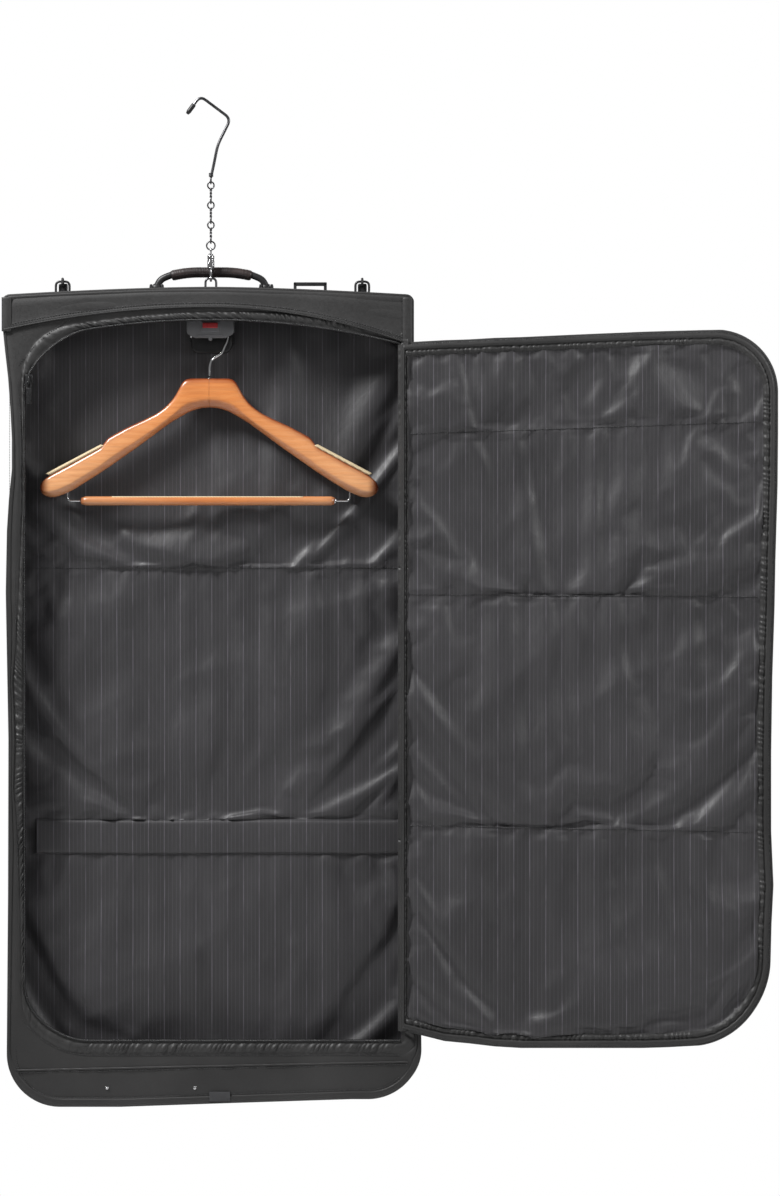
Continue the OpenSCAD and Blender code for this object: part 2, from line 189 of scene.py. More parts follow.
def shell_fabric():
    look = Look("shell_fabric", Sheen_Weight=0.12, Sheen_Roughness=0.5)
    cloudy = look.ranged(look.noise(9, 3), 0.3, 0.7, 0, 1)
    look.colour(look.mix(cloudy, (0.019, 0.0187, 0.0187), (0.034, 0.0333, 0.0333)))
    look.rough(look.ranged(look.noise(300, 3), 0.3, 0.7, 0.42, 0.62))
    look.bump(look.noise(950, 2, (1, 1, 0.6)), 0.35, 0.0004)
    look.bump(look.noise(40, 3), 0.18, 0.002)
    return look.material


def satin():
    """Charcoal satin with woven pinstripes: a bright one every 21 mm and faint ones between."""
    look = Look("lining_satin", Sheen_Weight=0.15, Sheen_Roughness=0.4)
    separate = look.add("ShaderNodeSeparateXYZ")
    look.link(look.place, separate.inputs[0])
    across = separate.outputs["X"]

    def stripes(pitch, width):
        distance = look.math("PINGPONG", across, pitch / 2)
        return look.ranged(distance, width * 0.35, width, 1, 0)

    broken = look.ranged(look.noise(60, 3, (4, 1, 0.5)), 0.35, 0.6, 0.35, 1)
    bright = look.math("MULTIPLY", stripes(20.8 * MM, 0.75 * MM), broken)
    faint = look.math("MULTIPLY", stripes(5.2 * MM, 0.55 * MM), 0.28)
    lines = look.math("MAXIMUM", bright, faint)
    cloudy = look.ranged(look.noise(7, 3), 0.3, 0.7, 0, 1)
    ground = look.mix(cloudy, (0.033, 0.032, 0.034), (0.048, 0.0465, 0.0495))
    look.colour(look.mix(lines, ground, (0.120, 0.112, 0.130)))
    look.rough(look.ranged(look.noise(220, 3, (1, 1, 0.2)), 0.3, 0.7, 0.42, 0.54))
    look.bump(look.noise(1100, 1, (1, 1, 0.25)), 0.25, 0.0003)
    look.bump(look.noise(55, 4, (1, 1, 0.7), 0.4), 0.22, 0.003)
    return look.material


def webbing():
    look = Look("webbing", Sheen_Weight=0.2)
    weave = look.add("ShaderNodeTexWave", wave_type="BANDS", bands_direction="DIAGONAL")
    look.link(look.place, weave.inputs["Vector"])
    weave.inputs["Scale"].default_value = 260
    weave.inputs["Distortion"].default_value = 0.6
    look.colour(look.mix(weave.outputs["Fac"], (0.008, 0.008, 0.009), (0.026, 0.026, 0.028)))
    look.rough(look.ranged(look.noise(200, 2), 0.3, 0.7, 0.55, 0.8))
    look.bump(weave.outputs["Fac"], 0.5, 0.0005)
    return look.material


def moulded(name, dark, light, rough=0.4):
    look = Look(name)
    look.colour(look.mix(look.ranged(look.noise(30, 3), 0.3, 0.7, 0, 1), dark, light))
    look.rough(look.ranged(look.noise(160, 4), 0.3, 0.7, rough - 0.08, rough + 0.12))
    look.bump(look.noise(700, 2), 0.12, 0.0002)
    return look.material


def metal(name, dark, light, rough=0.2):
    look = Look(name, Metallic=1.0)
    look.colour(look.mix(look.ranged(look.noise(50, 3), 0.3, 0.7, 0, 1), dark, light))
    look.rough(look.ranged(look.noise(120, 5, (1, 1, 0.2)), 0.3, 0.7, rough * 0.7, rough * 1.5))
    look.bump(look.noise(400, 3, (1, 1, 0.15)), 0.05, 0.0002)
    return look.material


def leather():
    look = Look("grip_leather", Coat_Weight=0.1, Coat_Roughness=0.4)
    cells = look.add("ShaderNodeTexVoronoi", feature="DISTANCE_TO_EDGE")
    look.link(look.place, cells.inputs["Vector"])
    cells.inputs["Scale"].default_value = 620
    cloudy = look.ranged(look.noise(60, 3), 0.3, 0.7, 0, 1)
    look.colour(look.mix(cloudy, (0.014, 0.010, 0.010), (0.036, 0.024, 0.022)))
    look.rough(look.ranged(look.noise(180, 3), 0.3, 0.7, 0.34, 0.55))
    look.bump(cells.outputs["Distance"], 0.4, 0.0004)
    return look.material


def wood():
    """Varnished wood: faint long grain, a painted highlight that lightens it towards the arms' outer ends,
    painted shade in dark reddish brown towards each piece's edges, and a clear coat.
    """
    look = Look("hanger_wood", Coat_Weight=0.6, Coat_Roughness=0.16)
    grain = look.add("ShaderNodeTexWave", wave_type="BANDS", bands_direction="Z")
    look.link(look.scaled((0.2, 1, 1)), grain.inputs["Vector"])
    grain.inputs["Scale"].default_value = 38
    grain.inputs["Distortion"].default_value = 9
    grain.inputs["Detail"].default_value = 4
    grain.inputs["Detail Scale"].default_value = 1.4
    pores = look.ranged(look.noise(420, 3, (0.05, 1, 1)), 0.35, 0.62, 0, 1)
    separate = look.add("ShaderNodeSeparateXYZ")
    look.link(look.place, separate.inputs[0])
    # painted highlight: the grain colours lighten towards the arms' outer ends
    painted_highlight_outward = look.ranged(look.math("ABSOLUTE", separate.outputs["X"]), 0.03, 0.19, 0, 1)
    grain_dark_with_highlight = look.mix(painted_highlight_outward, (0.76, 0.265, 0.075), (0.84, 0.400, 0.175))
    grain_light_with_highlight = look.mix(painted_highlight_outward, (0.80, 0.300, 0.092), (0.88, 0.450, 0.210))
    ground = look.mix(look.ranged(grain.outputs["Fac"], 0, 1, 0, 1), grain_dark_with_highlight, grain_light_with_highlight)
    worn = look.mix(look.ranged(pores, 0, 1, 0.26, 0), ground, (0.36, 0.10, 0.022))
    # painted shade: each mesh marks its edges and ends, which turn away from the front, and these go dark
    # reddish brown
    edge = look.add("ShaderNodeAttribute", attribute_name="painted_shade").outputs["Fac"]
    uneven_painted_shade = look.math("MULTIPLY", edge, look.ranged(look.noise(45, 3), 0.3, 0.7, 0.8, 1.1))
    look.colour(look.mix(look.ranged(uneven_painted_shade, 0.0, 1, 0, 1), worn, (0.20, 0.028, 0.006)))
    look.rough(look.ranged(pores, 0, 1, 0.36, 0.24))
    look.bump(pores, 0.05, 0.0003)
    return look.material


def inlay_material():
    look = Look("inlay")
    ribs = look.add("ShaderNodeTexWave", wave_type="BANDS", bands_direction="DIAGONAL")
    look.link(look.place, ribs.inputs["Vector"])
    ribs.inputs["Scale"].default_value = 160
    look.colour(look.mix(ribs.outputs["Fac"], (0.60, 0.47, 0.28), (0.78, 0.66, 0.44)))
    look.rough(look.ranged(look.noise(200, 3), 0.3, 0.7, 0.5, 0.7))
    look.bump(ribs.outputs["Fac"], 0.3, 0.0004)
    return look.material


LOOKS = {
    "shell_fabric": shell_fabric(),
    "lining_satin": satin(),
    "webbing": webbing(),
    "label": moulded("label", (0.035, 0.035, 0.038), (0.06, 0.06, 0.064), 0.65),
    "zip_plastic": moulded("zip_plastic", (0.012, 0.012, 0.013), (0.028, 0.028, 0.029), 0.28),
    "black_plastic": moulded("black_plastic", (0.010, 0.010, 0.011), (0.022, 0.022, 0.023), 0.38),
    "grey_plastic": moulded("grey_plastic", (0.120, 0.120, 0.126), (0.165, 0.165, 0.172), 0.42),
    "red_plastic": moulded("red_plastic", (0.36, 0.016, 0.022), (0.48, 0.030, 0.034), 0.32),
    "grip_leather": leather(),
    "hanger_wood": wood(),
    "inlay": inlay_material(),
    "bright_steel": metal("bright_steel", (0.55, 0.55, 0.56), (0.74, 0.74, 0.75), 0.14),
    "dark_steel": metal("dark_steel", (0.075, 0.075, 0.080), (0.16, 0.16, 0.165), 0.3),
    "frame_steel": metal("frame_steel", (0.32, 0.32, 0.33), (0.45, 0.45, 0.46), 0.35),
}


def finish_as(obj, slot_name):
    obj.data.materials.clear()
    obj.data.materials.append(LOOKS[slot_name])
    return obj


def place(obj, slot_name, body, *nodes):
    """Gives a piece its material and its body, and lets it stand for these CAD nodes."""
    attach(finish_as(obj, slot_name), body)
    if nodes:
        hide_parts(*nodes)


# ---------------------------------------------------------------- mesh helpers
# Places are in metres; the radii and bevels of tubes, blocks, rings and turned pieces are in millimetres.


def add_object(name, data):
    obj = bpy.data.objects.new(name, data)
    bpy.context.collection.objects.link(obj)
    return obj


def add_mesh(name, points, faces):
    mesh = bpy.data.meshes.new(name)
    mesh.from_pydata([tuple(p) for p in points], [], faces)
    mesh.update()
    mesh.polygons.foreach_set("use_smooth", [True] * len(mesh.polygons))
    return add_object(name, mesh)


def coordinates_of(obj):
    values = np.zeros(len(obj.data.vertices) * 3, np.float32)
    obj.data.vertices.foreach_get("co", values)
    return values.reshape(-1, 3).astype(float)


def move_to(obj, points):
    obj.data.vertices.foreach_set("co", points.astype(np.float32).ravel())
    obj.data.update()


def thicken(obj, thickness, offset=-1):
    """Gives a sheet its thickness; offset -1 adds it behind the sheet, and 0 on both sides."""
    solid = obj.modifiers.new("thickness", "SOLIDIFY")
    solid.thickness, solid.offset = thickness, offset


def grid_faces(rows, columns, closed=False):
    steps = columns if closed else columns - 1
    return [
        (a + c, a + (c + 1) % columns, a + columns + (c + 1) % columns, a + columns + c)
        for a in range(0, (rows - 1) * columns, columns)
        for c in range(steps)
    ]


def caps(rows, columns):
    """The two end faces of a closed run of rings."""
    return [tuple(range(columns))[::-1], last_cap(rows, columns)]


def last_cap(rows, columns):
    return tuple((rows - 1) * columns + k for k in range(columns))


def painted_shade(obj, amounts):
    """Marks how much painted shade darkens the wood's colour at each point."""
    attribute = obj.data.attributes.new("painted_shade", "FLOAT", "POINT")
    attribute.data.foreach_set("value", np.asarray(amounts, np.float32))
    return obj


def face_out(obj):
    bm = bmesh.new()
    bm.from_mesh(obj.data)
    bmesh.ops.recalc_face_normals(bm, faces=bm.faces)
    bm.to_mesh(obj.data)
    bm.free()
    return obj


def tube(name, path, radius, sides=10, closed=False, flat=None):
    """A round tube along a path; radius is one value or one per point, and flat is a direction and how far
    the tube is squashed along it."""
    path = np.array([tuple(p) for p in path], float)
    count = len(path)
    radius = np.broadcast_to(radius, count) * MM
    if closed:
        tangents = np.roll(path, -1, 0) - np.roll(path, 1, 0)
    else:
        tangents = np.gradient(path, axis=0)
    tangents /= np.linalg.norm(tangents, axis=1)[:, None]
    across = np.cross(tangents[0], (0.31, 0.17, 0.93))
    across /= np.linalg.norm(across)
    points = []
    for i in range(count):
        across = across - tangents[i] * (across @ tangents[i])
        across /= np.linalg.norm(across)
        other = np.cross(tangents[i], across)
        for k in range(sides):
            a = 2 * pi * k / sides
            offset = cos(a) * across + sin(a) * other
            if flat is not None:
                direction, amount = flat
                direction = np.array(direction)
                offset = offset - direction * (offset @ direction) * (1 - amount)
            points.append(path[i] + radius[i] * offset)
    faces = grid_faces(count, sides, True)
    if closed:
        last = (count - 1) * sides
        faces += [(last + k, last + (k + 1) % sides, (k + 1) % sides, k) for k in range(sides)]
    else:
        faces += caps(count, sides)
    return face_out(add_mesh(name, points, faces))


def smooth_path(corners, radius, step):
    """A polyline with its corners rounded, resampled to even steps."""
    corners = [np.array(tuple(c), float) for c in corners]
    points = [corners[0]]
    for a, b, c in zip(corners, corners[1:], corners[2:]):
        before, after = a - b, c - b
        cut = min(radius * MM, 0.48 * np.linalg.norm(before), 0.48 * np.linalg.norm(after))
        p = b + cut * before / np.linalg.norm(before)
        q = b + cut * after / np.linalg.norm(after)
        points += [(1 - t) ** 2 * p + 2 * t * (1 - t) * b + t * t * q for t in np.linspace(0, 1, 9)]
    points.append(corners[-1])
    return resample(np.array(points), step * MM)


def resample(points, step):
    lengths = np.concatenate([[0], np.cumsum(np.linalg.norm(np.diff(points, axis=0), axis=1))])
    count = max(3, int(lengths[-1] / step) + 1)
    at = np.linspace(0, lengths[-1], count)
    return np.stack([np.interp(at, lengths, points[:, i]) for i in range(points.shape[1])], 1)


def block(name, lo, hi, bevel, segments=3):
    """A box with rounded edges."""
    bm = bmesh.new()
    bmesh.ops.create_cube(bm, size=1)
    for v in bm.verts:
        v.co = Vector([lo[i] + (v.co[i] + 0.5) * (hi[i] - lo[i]) for i in range(3)])
    bmesh.ops.bevel(bm, geom=bm.edges[:], offset=bevel * MM, segments=segments, affect="EDGES", profile=0.6)
    mesh = bpy.data.meshes.new(name)
    bm.to_mesh(mesh)
    bm.free()
    mesh.polygons.foreach_set("use_smooth", [True] * len(mesh.polygons))
    return add_object(name, mesh)


def lathe(name, profile, at, sides=28, axis="Z"):
    """Turns (radius, height) points about an axis through the point at."""
    at = Vector(at)
    points = []
    for radius, height in profile:
        for k in range(sides):
            a = 2 * pi * k / sides
            p = mm(radius * cos(a), radius * sin(a), height)
            if axis == "X":
                p = Vector((p.z, p.x, p.y))
            if axis == "Y":
                p = Vector((p.x, p.z, p.y))
            points.append(at + p)
    return face_out(add_mesh(name, points, grid_faces(len(profile), sides, True) + caps(len(profile), sides)))


def joined(name, pieces):
    """One object holding the meshes of several."""
    bm = bmesh.new()
    for piece in pieces:
        bm.from_mesh(piece.data)
        bpy.data.objects.remove(piece)
    mesh = bpy.data.meshes.new(name)
    bm.to_mesh(mesh)
    bm.free()
    return add_object(name, mesh)


def cut_in_bands(obj, heights, names):
    """Cuts a piece at these heights, highest first, and keeps the whole piece's shading at the cuts."""
    bm = bmesh.new()
    bm.from_mesh(obj.data)
    for z in heights:
        geometry = bm.verts[:] + bm.edges[:] + bm.faces[:]
        bmesh.ops.bisect_plane(bm, geom=geometry, plane_co=(0, 0, z), plane_no=(0, 0, 1), dist=1e-6)
    bm.to_mesh(obj.data)
    bm.free()
    mesh = obj.data
    normals = np.zeros(len(mesh.vertices) * 3, np.float32)
    mesh.vertices.foreach_get("normal", normals)
    kept = mesh.attributes.new("whole_normal", "FLOAT_VECTOR", "POINT")
    kept.data.foreach_set("vector", normals)
    limits = [1e3, *heights, -1e3]
    pieces = []
    for name, upper, lower in zip(names, limits, limits[1:]):
        band = add_object(name, mesh.copy())
        bm = bmesh.new()
        bm.from_mesh(band.data)
        outside = [f for f in bm.faces if not lower < f.calc_center_median().z < upper]
        bmesh.ops.delete(bm, geom=outside, context="FACES")
        bm.to_mesh(band.data)
        bm.free()
        values = np.zeros(len(band.data.vertices) * 3, np.float32)
        band.data.attributes["whole_normal"].data.foreach_get("vector", values)
        band.data.attributes.remove(band.data.attributes["whole_normal"])
        band.data.normals_split_custom_set_from_vertices(values.reshape(-1, 3))
        pieces.append(band)
    bpy.data.objects.remove(obj)
    return pieces


def ride_on_bag(obj, name, slot_name):
    """Fabric of the bag's body: two pieces, cut at the middle, with their placement baked into their meshes."""
    finish_as(obj, slot_name)
    pieces = cut_in_bands(obj, [MIDDLE], [name + "_top", name + "_bottom"])
    for piece, bodies, fold in zip(pieces, (("upper", "middle"), ("middle", "lower")), (FOLD_1, FOLD_2)):
        if not piece.data.polygons:
            bpy.data.objects.remove(piece)
            continue
        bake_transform(piece)
    return pieces


def ride_on_lid(obj, name, slot_name):
    """Fabric of the lid: one piece on each of the lid's three bodies."""
    finish_as(obj, slot_name)
    pieces = cut_in_bands(obj, [FOLD_1, FOLD_2], [name + "_upper", name + "_middle", name + "_lower"])
    for piece, body in zip(pieces, ("lid_upper", "lid_middle", "lid_lower")):
        if not piece.data.polygons:
            bpy.data.objects.remove(piece)
            continue
        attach(piece, body)
    return pieces


def ripple(s, pitch, seed=0.0):
    """Uneven waves along a length, as in gathered cloth."""
    wander = 2.3 * np.sin(2 * pi * s / (6.3 * pitch) + seed)
    wander += 1.7 * np.sin(2 * pi * s / (14.7 * pitch) + 2 * seed)
    strength = 0.62 + 0.38 * np.sin(2 * pi * s / (9.1 * pitch) + 3 * seed)
    return strength * np.sin(2 * pi * s / pitch + wander)


def noise_at(points, scale, seed=0.0):
    """Smooth noise from about -1 to 1 at each point; scale is its frequency along X, Y and Z."""
    a, b, c = scale
    return np.array([noise.noise(Vector((x * a + seed, y * b, z * c))) for x, y, z in points])


def arc_length(loop):
    steps = np.linalg.norm(np.diff(loop, axis=0, append=loop[:1]), axis=1)
    return np.concatenate([[0], np.cumsum(steps)[:-1]])


def outline(x0, x1, z0, z1, radii, across=260, up=520, corner=36):
    """A rounded rectangle in X and Z; radii are bottom left, bottom right, top right, top left."""
    bl, br, tr, tl = radii
    points = []

    def arc(x, z, r, start):
        for i in range(corner):
            a = radians(start + 90 * i / corner)
            points.append((x + r * cos(a), z + r * sin(a)))

    def line(a, b, count):
        for i in range(count):
            t = i / count
            points.append((a[0] + (b[0] - a[0]) * t, a[1] + (b[1] - a[1]) * t))

    arc(x0 + bl, z0 + bl, bl, 180)
    line((x0 + bl, z0), (x1 - br, z0), across)
    arc(x1 - br, z0 + br, br, 270)
    line((x1, z0 + br), (x1, z1 - tr), up)
    arc(x1 - tr, z1 - tr, tr, 0)
    line((x1 - tr, z1), (x0 + tl, z1), across)
    arc(x0 + tl, z1 - tl, tl, 90)
    line((x0, z1 - tl), (x0, z0 + bl), up)
    return np.array(points)


def rounded_grid(x0, x1, z0, z1, radii, columns, rows):
    """Rows of points over a rounded rectangle, bottom row first; radii as in outline()."""
    x, z = np.meshgrid(np.linspace(x0, x1, columns), np.linspace(z0, z1, rows))
    for radius, cx, cz, sx, sz in (
        (radii[0], x0 + radii[0], z0 + radii[0], -1, -1),
        (radii[1], x1 - radii[1], z0 + radii[1], 1, -1),
        (radii[2], x1 - radii[2], z1 - radii[2], 1, 1),
        (radii[3], x0 + radii[3], z1 - radii[3], -1, 1),
    ):
        if radius <= 0:
            continue
        a, b = (x - cx) * sx / radius, (z - cz) * sz / radius
        inside = (a > 0) & (b > 0)
        length = np.hypot(a, b)
        squeeze = np.where(inside, np.maximum(a, b) / np.where(length > 0, length, 1), 1)
        x = np.where(inside, cx + sx * radius * a * squeeze, x)
        z = np.where(inside, cz + sz * radius * b * squeeze, z)
    return x, z


def settle(obj, pinned, slack, frames=22, gravity=0.25):
    """Lets a pinned sheet with a little spare cloth find its folds, and keeps the result in its mesh."""
    group = obj.vertex_groups.new(name="sewn")
    group.add([int(i) for i in np.flatnonzero(pinned)], 1.0, "REPLACE")
    cloth = obj.modifiers.new("cloth", "CLOTH")
    cloth.settings.quality = 5
    cloth.settings.mass = 0.12
    cloth.settings.tension_stiffness = 18
    cloth.settings.compression_stiffness = 18
    cloth.settings.shear_stiffness = 8
    cloth.settings.bending_stiffness = 0.9
    cloth.settings.air_damping = 4
    cloth.settings.vertex_group_mass = "sewn"
    cloth.settings.shrink_min = -slack
    cloth.settings.effector_weights.gravity = gravity
    cloth.point_cache.frame_start = 1
    cloth.point_cache.frame_end = frames
    scene = bpy.context.scene
    for f in range(1, frames + 1):
        scene.frame_set(f)
    settled = obj.evaluated_get(bpy.context.evaluated_depsgraph_get()).to_mesh()
    coordinates = np.zeros(len(settled.vertices) * 3, np.float32)
    settled.vertices.foreach_get("co", coordinates)
    obj.modifiers.remove(cloth)
    obj.vertex_groups.clear()
    obj.data.vertices.foreach_set("co", coordinates)
    obj.data.update()
    scene.frame_set(1)


def tied_rows(x, z, seams):
    """Marks the points that are sewn down: the grid's edges and its row nearest to each seam."""
    tied = np.zeros(x.shape, bool)
    tied[0], tied[-1], tied[:, 0], tied[:, -1] = True, True, True, True
    middle = x.shape[1] // 2
    for seam in seams:
        tied[np.abs(z[:, middle] - seam(x[:, middle])).argmin()] = True
    return tied


def soft_sheet(name, x, z, y, pinned, slack, reach, seams, seed):
    """A sewn sheet of lining, pinned at its edges and seams and wrinkled by simulation.

    reach is how far it may stand forward and back of y. It returns the sheet and the points of each seam."""
    rows, columns = x.shape
    points = np.stack([x.ravel(), np.full(x.size, y), z.ravel()], 1)
    free = ~pinned.ravel()
    slanted = points.copy()
    slanted[:, 2] += 0.55 * points[:, 0]
    start = noise_at(slanted, (4, 1, 9), seed) + 0.6 * noise_at(points, (13, 1, 13), seed + 5)
    start += 0.4 * noise_at(points, (34, 1, 30), seed + 9)
    points[:, 1] += np.where(free, 3.5 * MM * start, 0)
    obj = add_mesh(name, points, grid_faces(rows, columns))
    settle(obj, ~free, slack)
    points = coordinates_of(obj)
    away = points[:, 1] - y - broad_folds(points, x, z, pinned, seed)
    limit = np.where(away < 0, reach[0], reach[1])
    points[:, 1] = y + limit * np.tanh(away / limit)
    lines = []
    for seam in seams:
        height = seam(points[:, 0])
        distance = (points[:, 2] - height) / (3.0 * MM)
        near = np.exp(-((points[:, 2] - height) / (12 * MM)) ** 2)
        puckers = 1.1 * MM * ripple(points[:, 0], 9 * MM, seed) * near
        points[:, 1] += (1.8 * MM * np.exp(-distance ** 2) + puckers) * free
    shaped = points.reshape(rows, columns, 3)
    for seam in seams:
        row = np.abs(z[:, columns // 2] - seam(x[:, columns // 2])).argmin()
        line = shaped[row, 1:-1].copy()
        line[:, 1] -= 0.5 * MM
        lines.append(line)
    move_to(obj, points)
    return obj, lines


def broad_folds(points, x, z, pinned, seed):
    """Slanting folds over the middle of each panel, fading out to its edges and seams."""
    tied = z[pinned.all(axis=1)]
    to_seam = np.abs(z[:, None, :] - tied[None]).min(axis=1).ravel()
    to_edge = np.minimum(points[:, 0] - x.min(), x.max() - points[:, 0])
    weight = np.clip(np.minimum(to_seam, to_edge) / (45 * MM), 0, 1) ** 0.8
    a = radians(32)
    px, pz = points[:, 0], points[:, 2]
    turned = np.stack([px * cos(a) + pz * sin(a), px * 0, pz * cos(a) - px * sin(a)], 1)
    soft = noise_at(turned, (3.2, 1, 9), seed + 21)
    crease = 0.3 - np.abs(noise_at(turned, (4.5, 1, 15), seed + 33))
    return weight * MM * (8.0 * soft + 7.0 * crease)


def bend_rows(z, x, seams):
    """Moves the rows of a grid so that one of them lies along each seam."""
    base = z[:, 0].copy()
    middle = z.shape[1] // 2
    rows = sorted((np.abs(z[:, middle] - seam(x[:, middle])).argmin(), i) for i, seam in enumerate(seams))
    at = [base[0], *(base[row] for row, i in rows), base[-1]]
    ends = np.zeros(z.shape[1])
    shifts = [ends, *(seams[i](x[row]) - z[row] for row, i in rows), ends]
    for r in range(z.shape[0]):
        for c in range(z.shape[1]):
            z[r, c] += np.interp(base[r], at, [shift[c] for shift in shifts])


# ---------------------------------------------------------------- the bag's outer shell


SWAY_HEIGHTS = [-1.05, -0.80, -0.60, -0.41, -0.33, -0.29, -0.25, -0.21, -0.17, -0.13, -0.095, -0.056]
SWAY_LEFT = [8, 10, 10.5, 7, 8.5, 11, 15, 15, 13, 10, 6, 2]


def side_sway(x, z):
    """How far the soft sides hang in from the header's ends, or out at the bottom right."""
    left = np.interp(z, SWAY_HEIGHTS, SWAY_LEFT)
    right = np.interp(z, [-1.03, -0.80, -0.40, -0.20, -0.03], [4, 1, -5, -6, -6])
    return MM * np.where(x < 0, left * np.clip(-x / 0.2, 0, 1), right * np.clip(x / 0.2, 0, 1))


def edge_rise(x, z):
    """The header's top edge is crowned, and the hem rises to the right."""
    crown = 1.5 * MM - 9 * MM * (np.abs(x) / 0.25) ** 1.6
    hem = 1 * MM + 10 * MM * np.clip((x + 0.12) / 0.3, 0, 1)
    return crown * np.clip((z + 0.060) / 0.040, 0, 1) + hem * np.clip((-0.95 - z) / 0.1, 0, 1)


def opening_arch(x, z):
    """The opening's top edge is a low arch, and its lower edge is a little high at both ends."""
    rise = 11 * MM - x * x / 2.0
    near_top = np.clip((z + 0.150) / 0.080, 0, 1)
    near_bottom = np.clip((-0.93 - z) / 0.06, 0, 1)
    return rise * near_top + near_bottom * 9 * MM


def opening_loop(inset=0.0):
    loop = outline(
        OPEN_LEFT - inset, HINGE + inset, OPEN_BOTTOM - inset, OPEN_TOP + inset,
        (OPEN_CORNER + inset, 3 * MM + inset, 3 * MM + inset, OPEN_CORNER + inset),
    )
    loop[:, 1] += opening_arch(loop[:, 0], loop[:, 1])
    return loop


def bag_loop(inset=0.0):
    round_bottom, round_top = max(CORNER - inset, 2 * MM), max(8 * MM - inset, 2 * MM)
    loop = outline(
        LEFT + inset, RIGHT - inset, BOTTOM + inset, TOP - inset,
        (round_bottom, round_bottom, round_top, round_top),
    )
    sway, rise = side_sway(loop[:, 0], loop[:, 1]), edge_rise(loop[:, 0], loop[:, 1])
    return loop + np.stack([sway, rise], 1)


def with_depth(loop, depth):
    return np.stack([loop[:, 0], np.broadcast_to(depth, len(loop)), loop[:, 1]], 1)


def gathers(s, across, pitch, size, seed):
    """Puckers of a gathered strip: they start at the seam, lean and fade unevenly."""
    lean = 0.35 * pitch * across
    fine = ripple(s + lean, pitch, seed)
    coarse = ripple(s - lean, 2.3 * pitch, seed + 3)
    return size * np.sin(pi * across) ** 0.7 * (0.75 * fine + 0.5 * coarse)


def shell():
    """Front rim with its gathered strip, side walls and back panel as one sewn shell."""
    inner, outer = opening_loop(), bag_loop()
    s = arc_length(inner)
    width = np.linalg.norm(outer - inner, axis=1)
    direction = (outer - inner) / width[:, None]
    tight = np.clip((width - 7 * MM) / (20 * MM), 0.3, 1)
    rings = []
    for d in (0, 2, 4, 5, 6, 7.5, 9, 11, 13, 15, 17, 18.5, 19.6, 20):
        across = np.clip((d - 5) / 15, 0, 1)
        depth = FRONT - MM * (0.4 + 2.2 * np.sin(pi * across) * tight)
        depth = depth + gathers(s, across, 7 * MM, 2.3 * MM, 1)
        rings.append(with_depth(inner + direction * (d * MM * tight)[:, None], depth))
    start = 20 * MM * tight
    binding = np.minimum(9.5 * MM, 0.45 * (width - start))
    for t in (0.05, 0.2, 0.4, 0.6, 0.8, 0.96, 1):
        flat = inner + direction * (start + (width - start - binding) * t)[:, None]
        points = with_depth(flat, FRONT)
        soft = noise_at(points, (9, 1, 6), 2) + 0.5 * noise_at(points, (26, 1, 14), 8)
        points[:, 1] = FRONT - MM * (0.6 + 1.9 * sin(pi * t) * (1 + soft))
        rings.append(points)
    for t, raised in ((0.04, 1.9), (0.12, 2.1), (0.5, 2.3), (0.85, 2.0), (1, 0.6)):
        flat = inner + direction * (width - binding * (1 - t))[:, None]
        rings.append(with_depth(flat, FRONT - raised * MM))
    wall_s = arc_length(outer)
    centre_point = outer.mean(0)
    for t in (0.03, 0.1, 0.2, 0.32, 0.45, 0.58, 0.7, 0.8, 0.9, 0.97, 1):
        depth = FRONT + (BACK - FRONT) * t
        points = with_depth(outer, depth)
        buckle = noise_at(points, (8, 30, 9), 20) + 0.4 * ripple(wall_s, 60 * MM, 2)
        inward = (centre_point - outer) / np.linalg.norm(centre_point - outer, axis=1)[:, None]
        shift = MM * sin(pi * t) * (1.5 + 2.0 * buckle)
        points[:, 0] += inward[:, 0] * shift
        points[:, 2] += inward[:, 1] * shift * (outer[:, 1] < TOP - 20 * MM)
        rings.append(points)
    for inset in (3, 8, 9, 16, 28, 44, 64, 88, 116, 146, 178, 210, 240):
        points = with_depth(bag_loop(inset * MM), BACK)
        points[:, 0] -= side_sway(points[:, 0], points[:, 2]) * inset / 240
        soft = noise_at(points, (5, 1, 4), 31) + 0.5 * noise_at(points, (15, 1, 10), 37)
        groove = sum(np.exp(-((points[:, 2] - fold) / (3 * MM)) ** 2) for fold in (FOLD_1, FOLD_2))
        points[:, 1] = BACK + MM * (1.3 * soft * min(1, inset / 20) - 1.6 * groove + (1.2 if inset < 9 else 0))
        rings.append(points)
    count = len(inner)
    faces = [*grid_faces(len(rings), count, True), last_cap(len(rings), count)]
    obj = face_out(add_mesh("shell", np.concatenate(rings), faces))
    ride_on_bag(obj, "shell", "shell_fabric")


def header_seam(x):
    """Height of the header's lower edge: an arc that falls to the opening's right-hand corner."""
    return -39 * MM - np.where(x < 0, 26 * MM * (x / 0.25) ** 2, 41 * MM * (x / 0.24) ** 2)


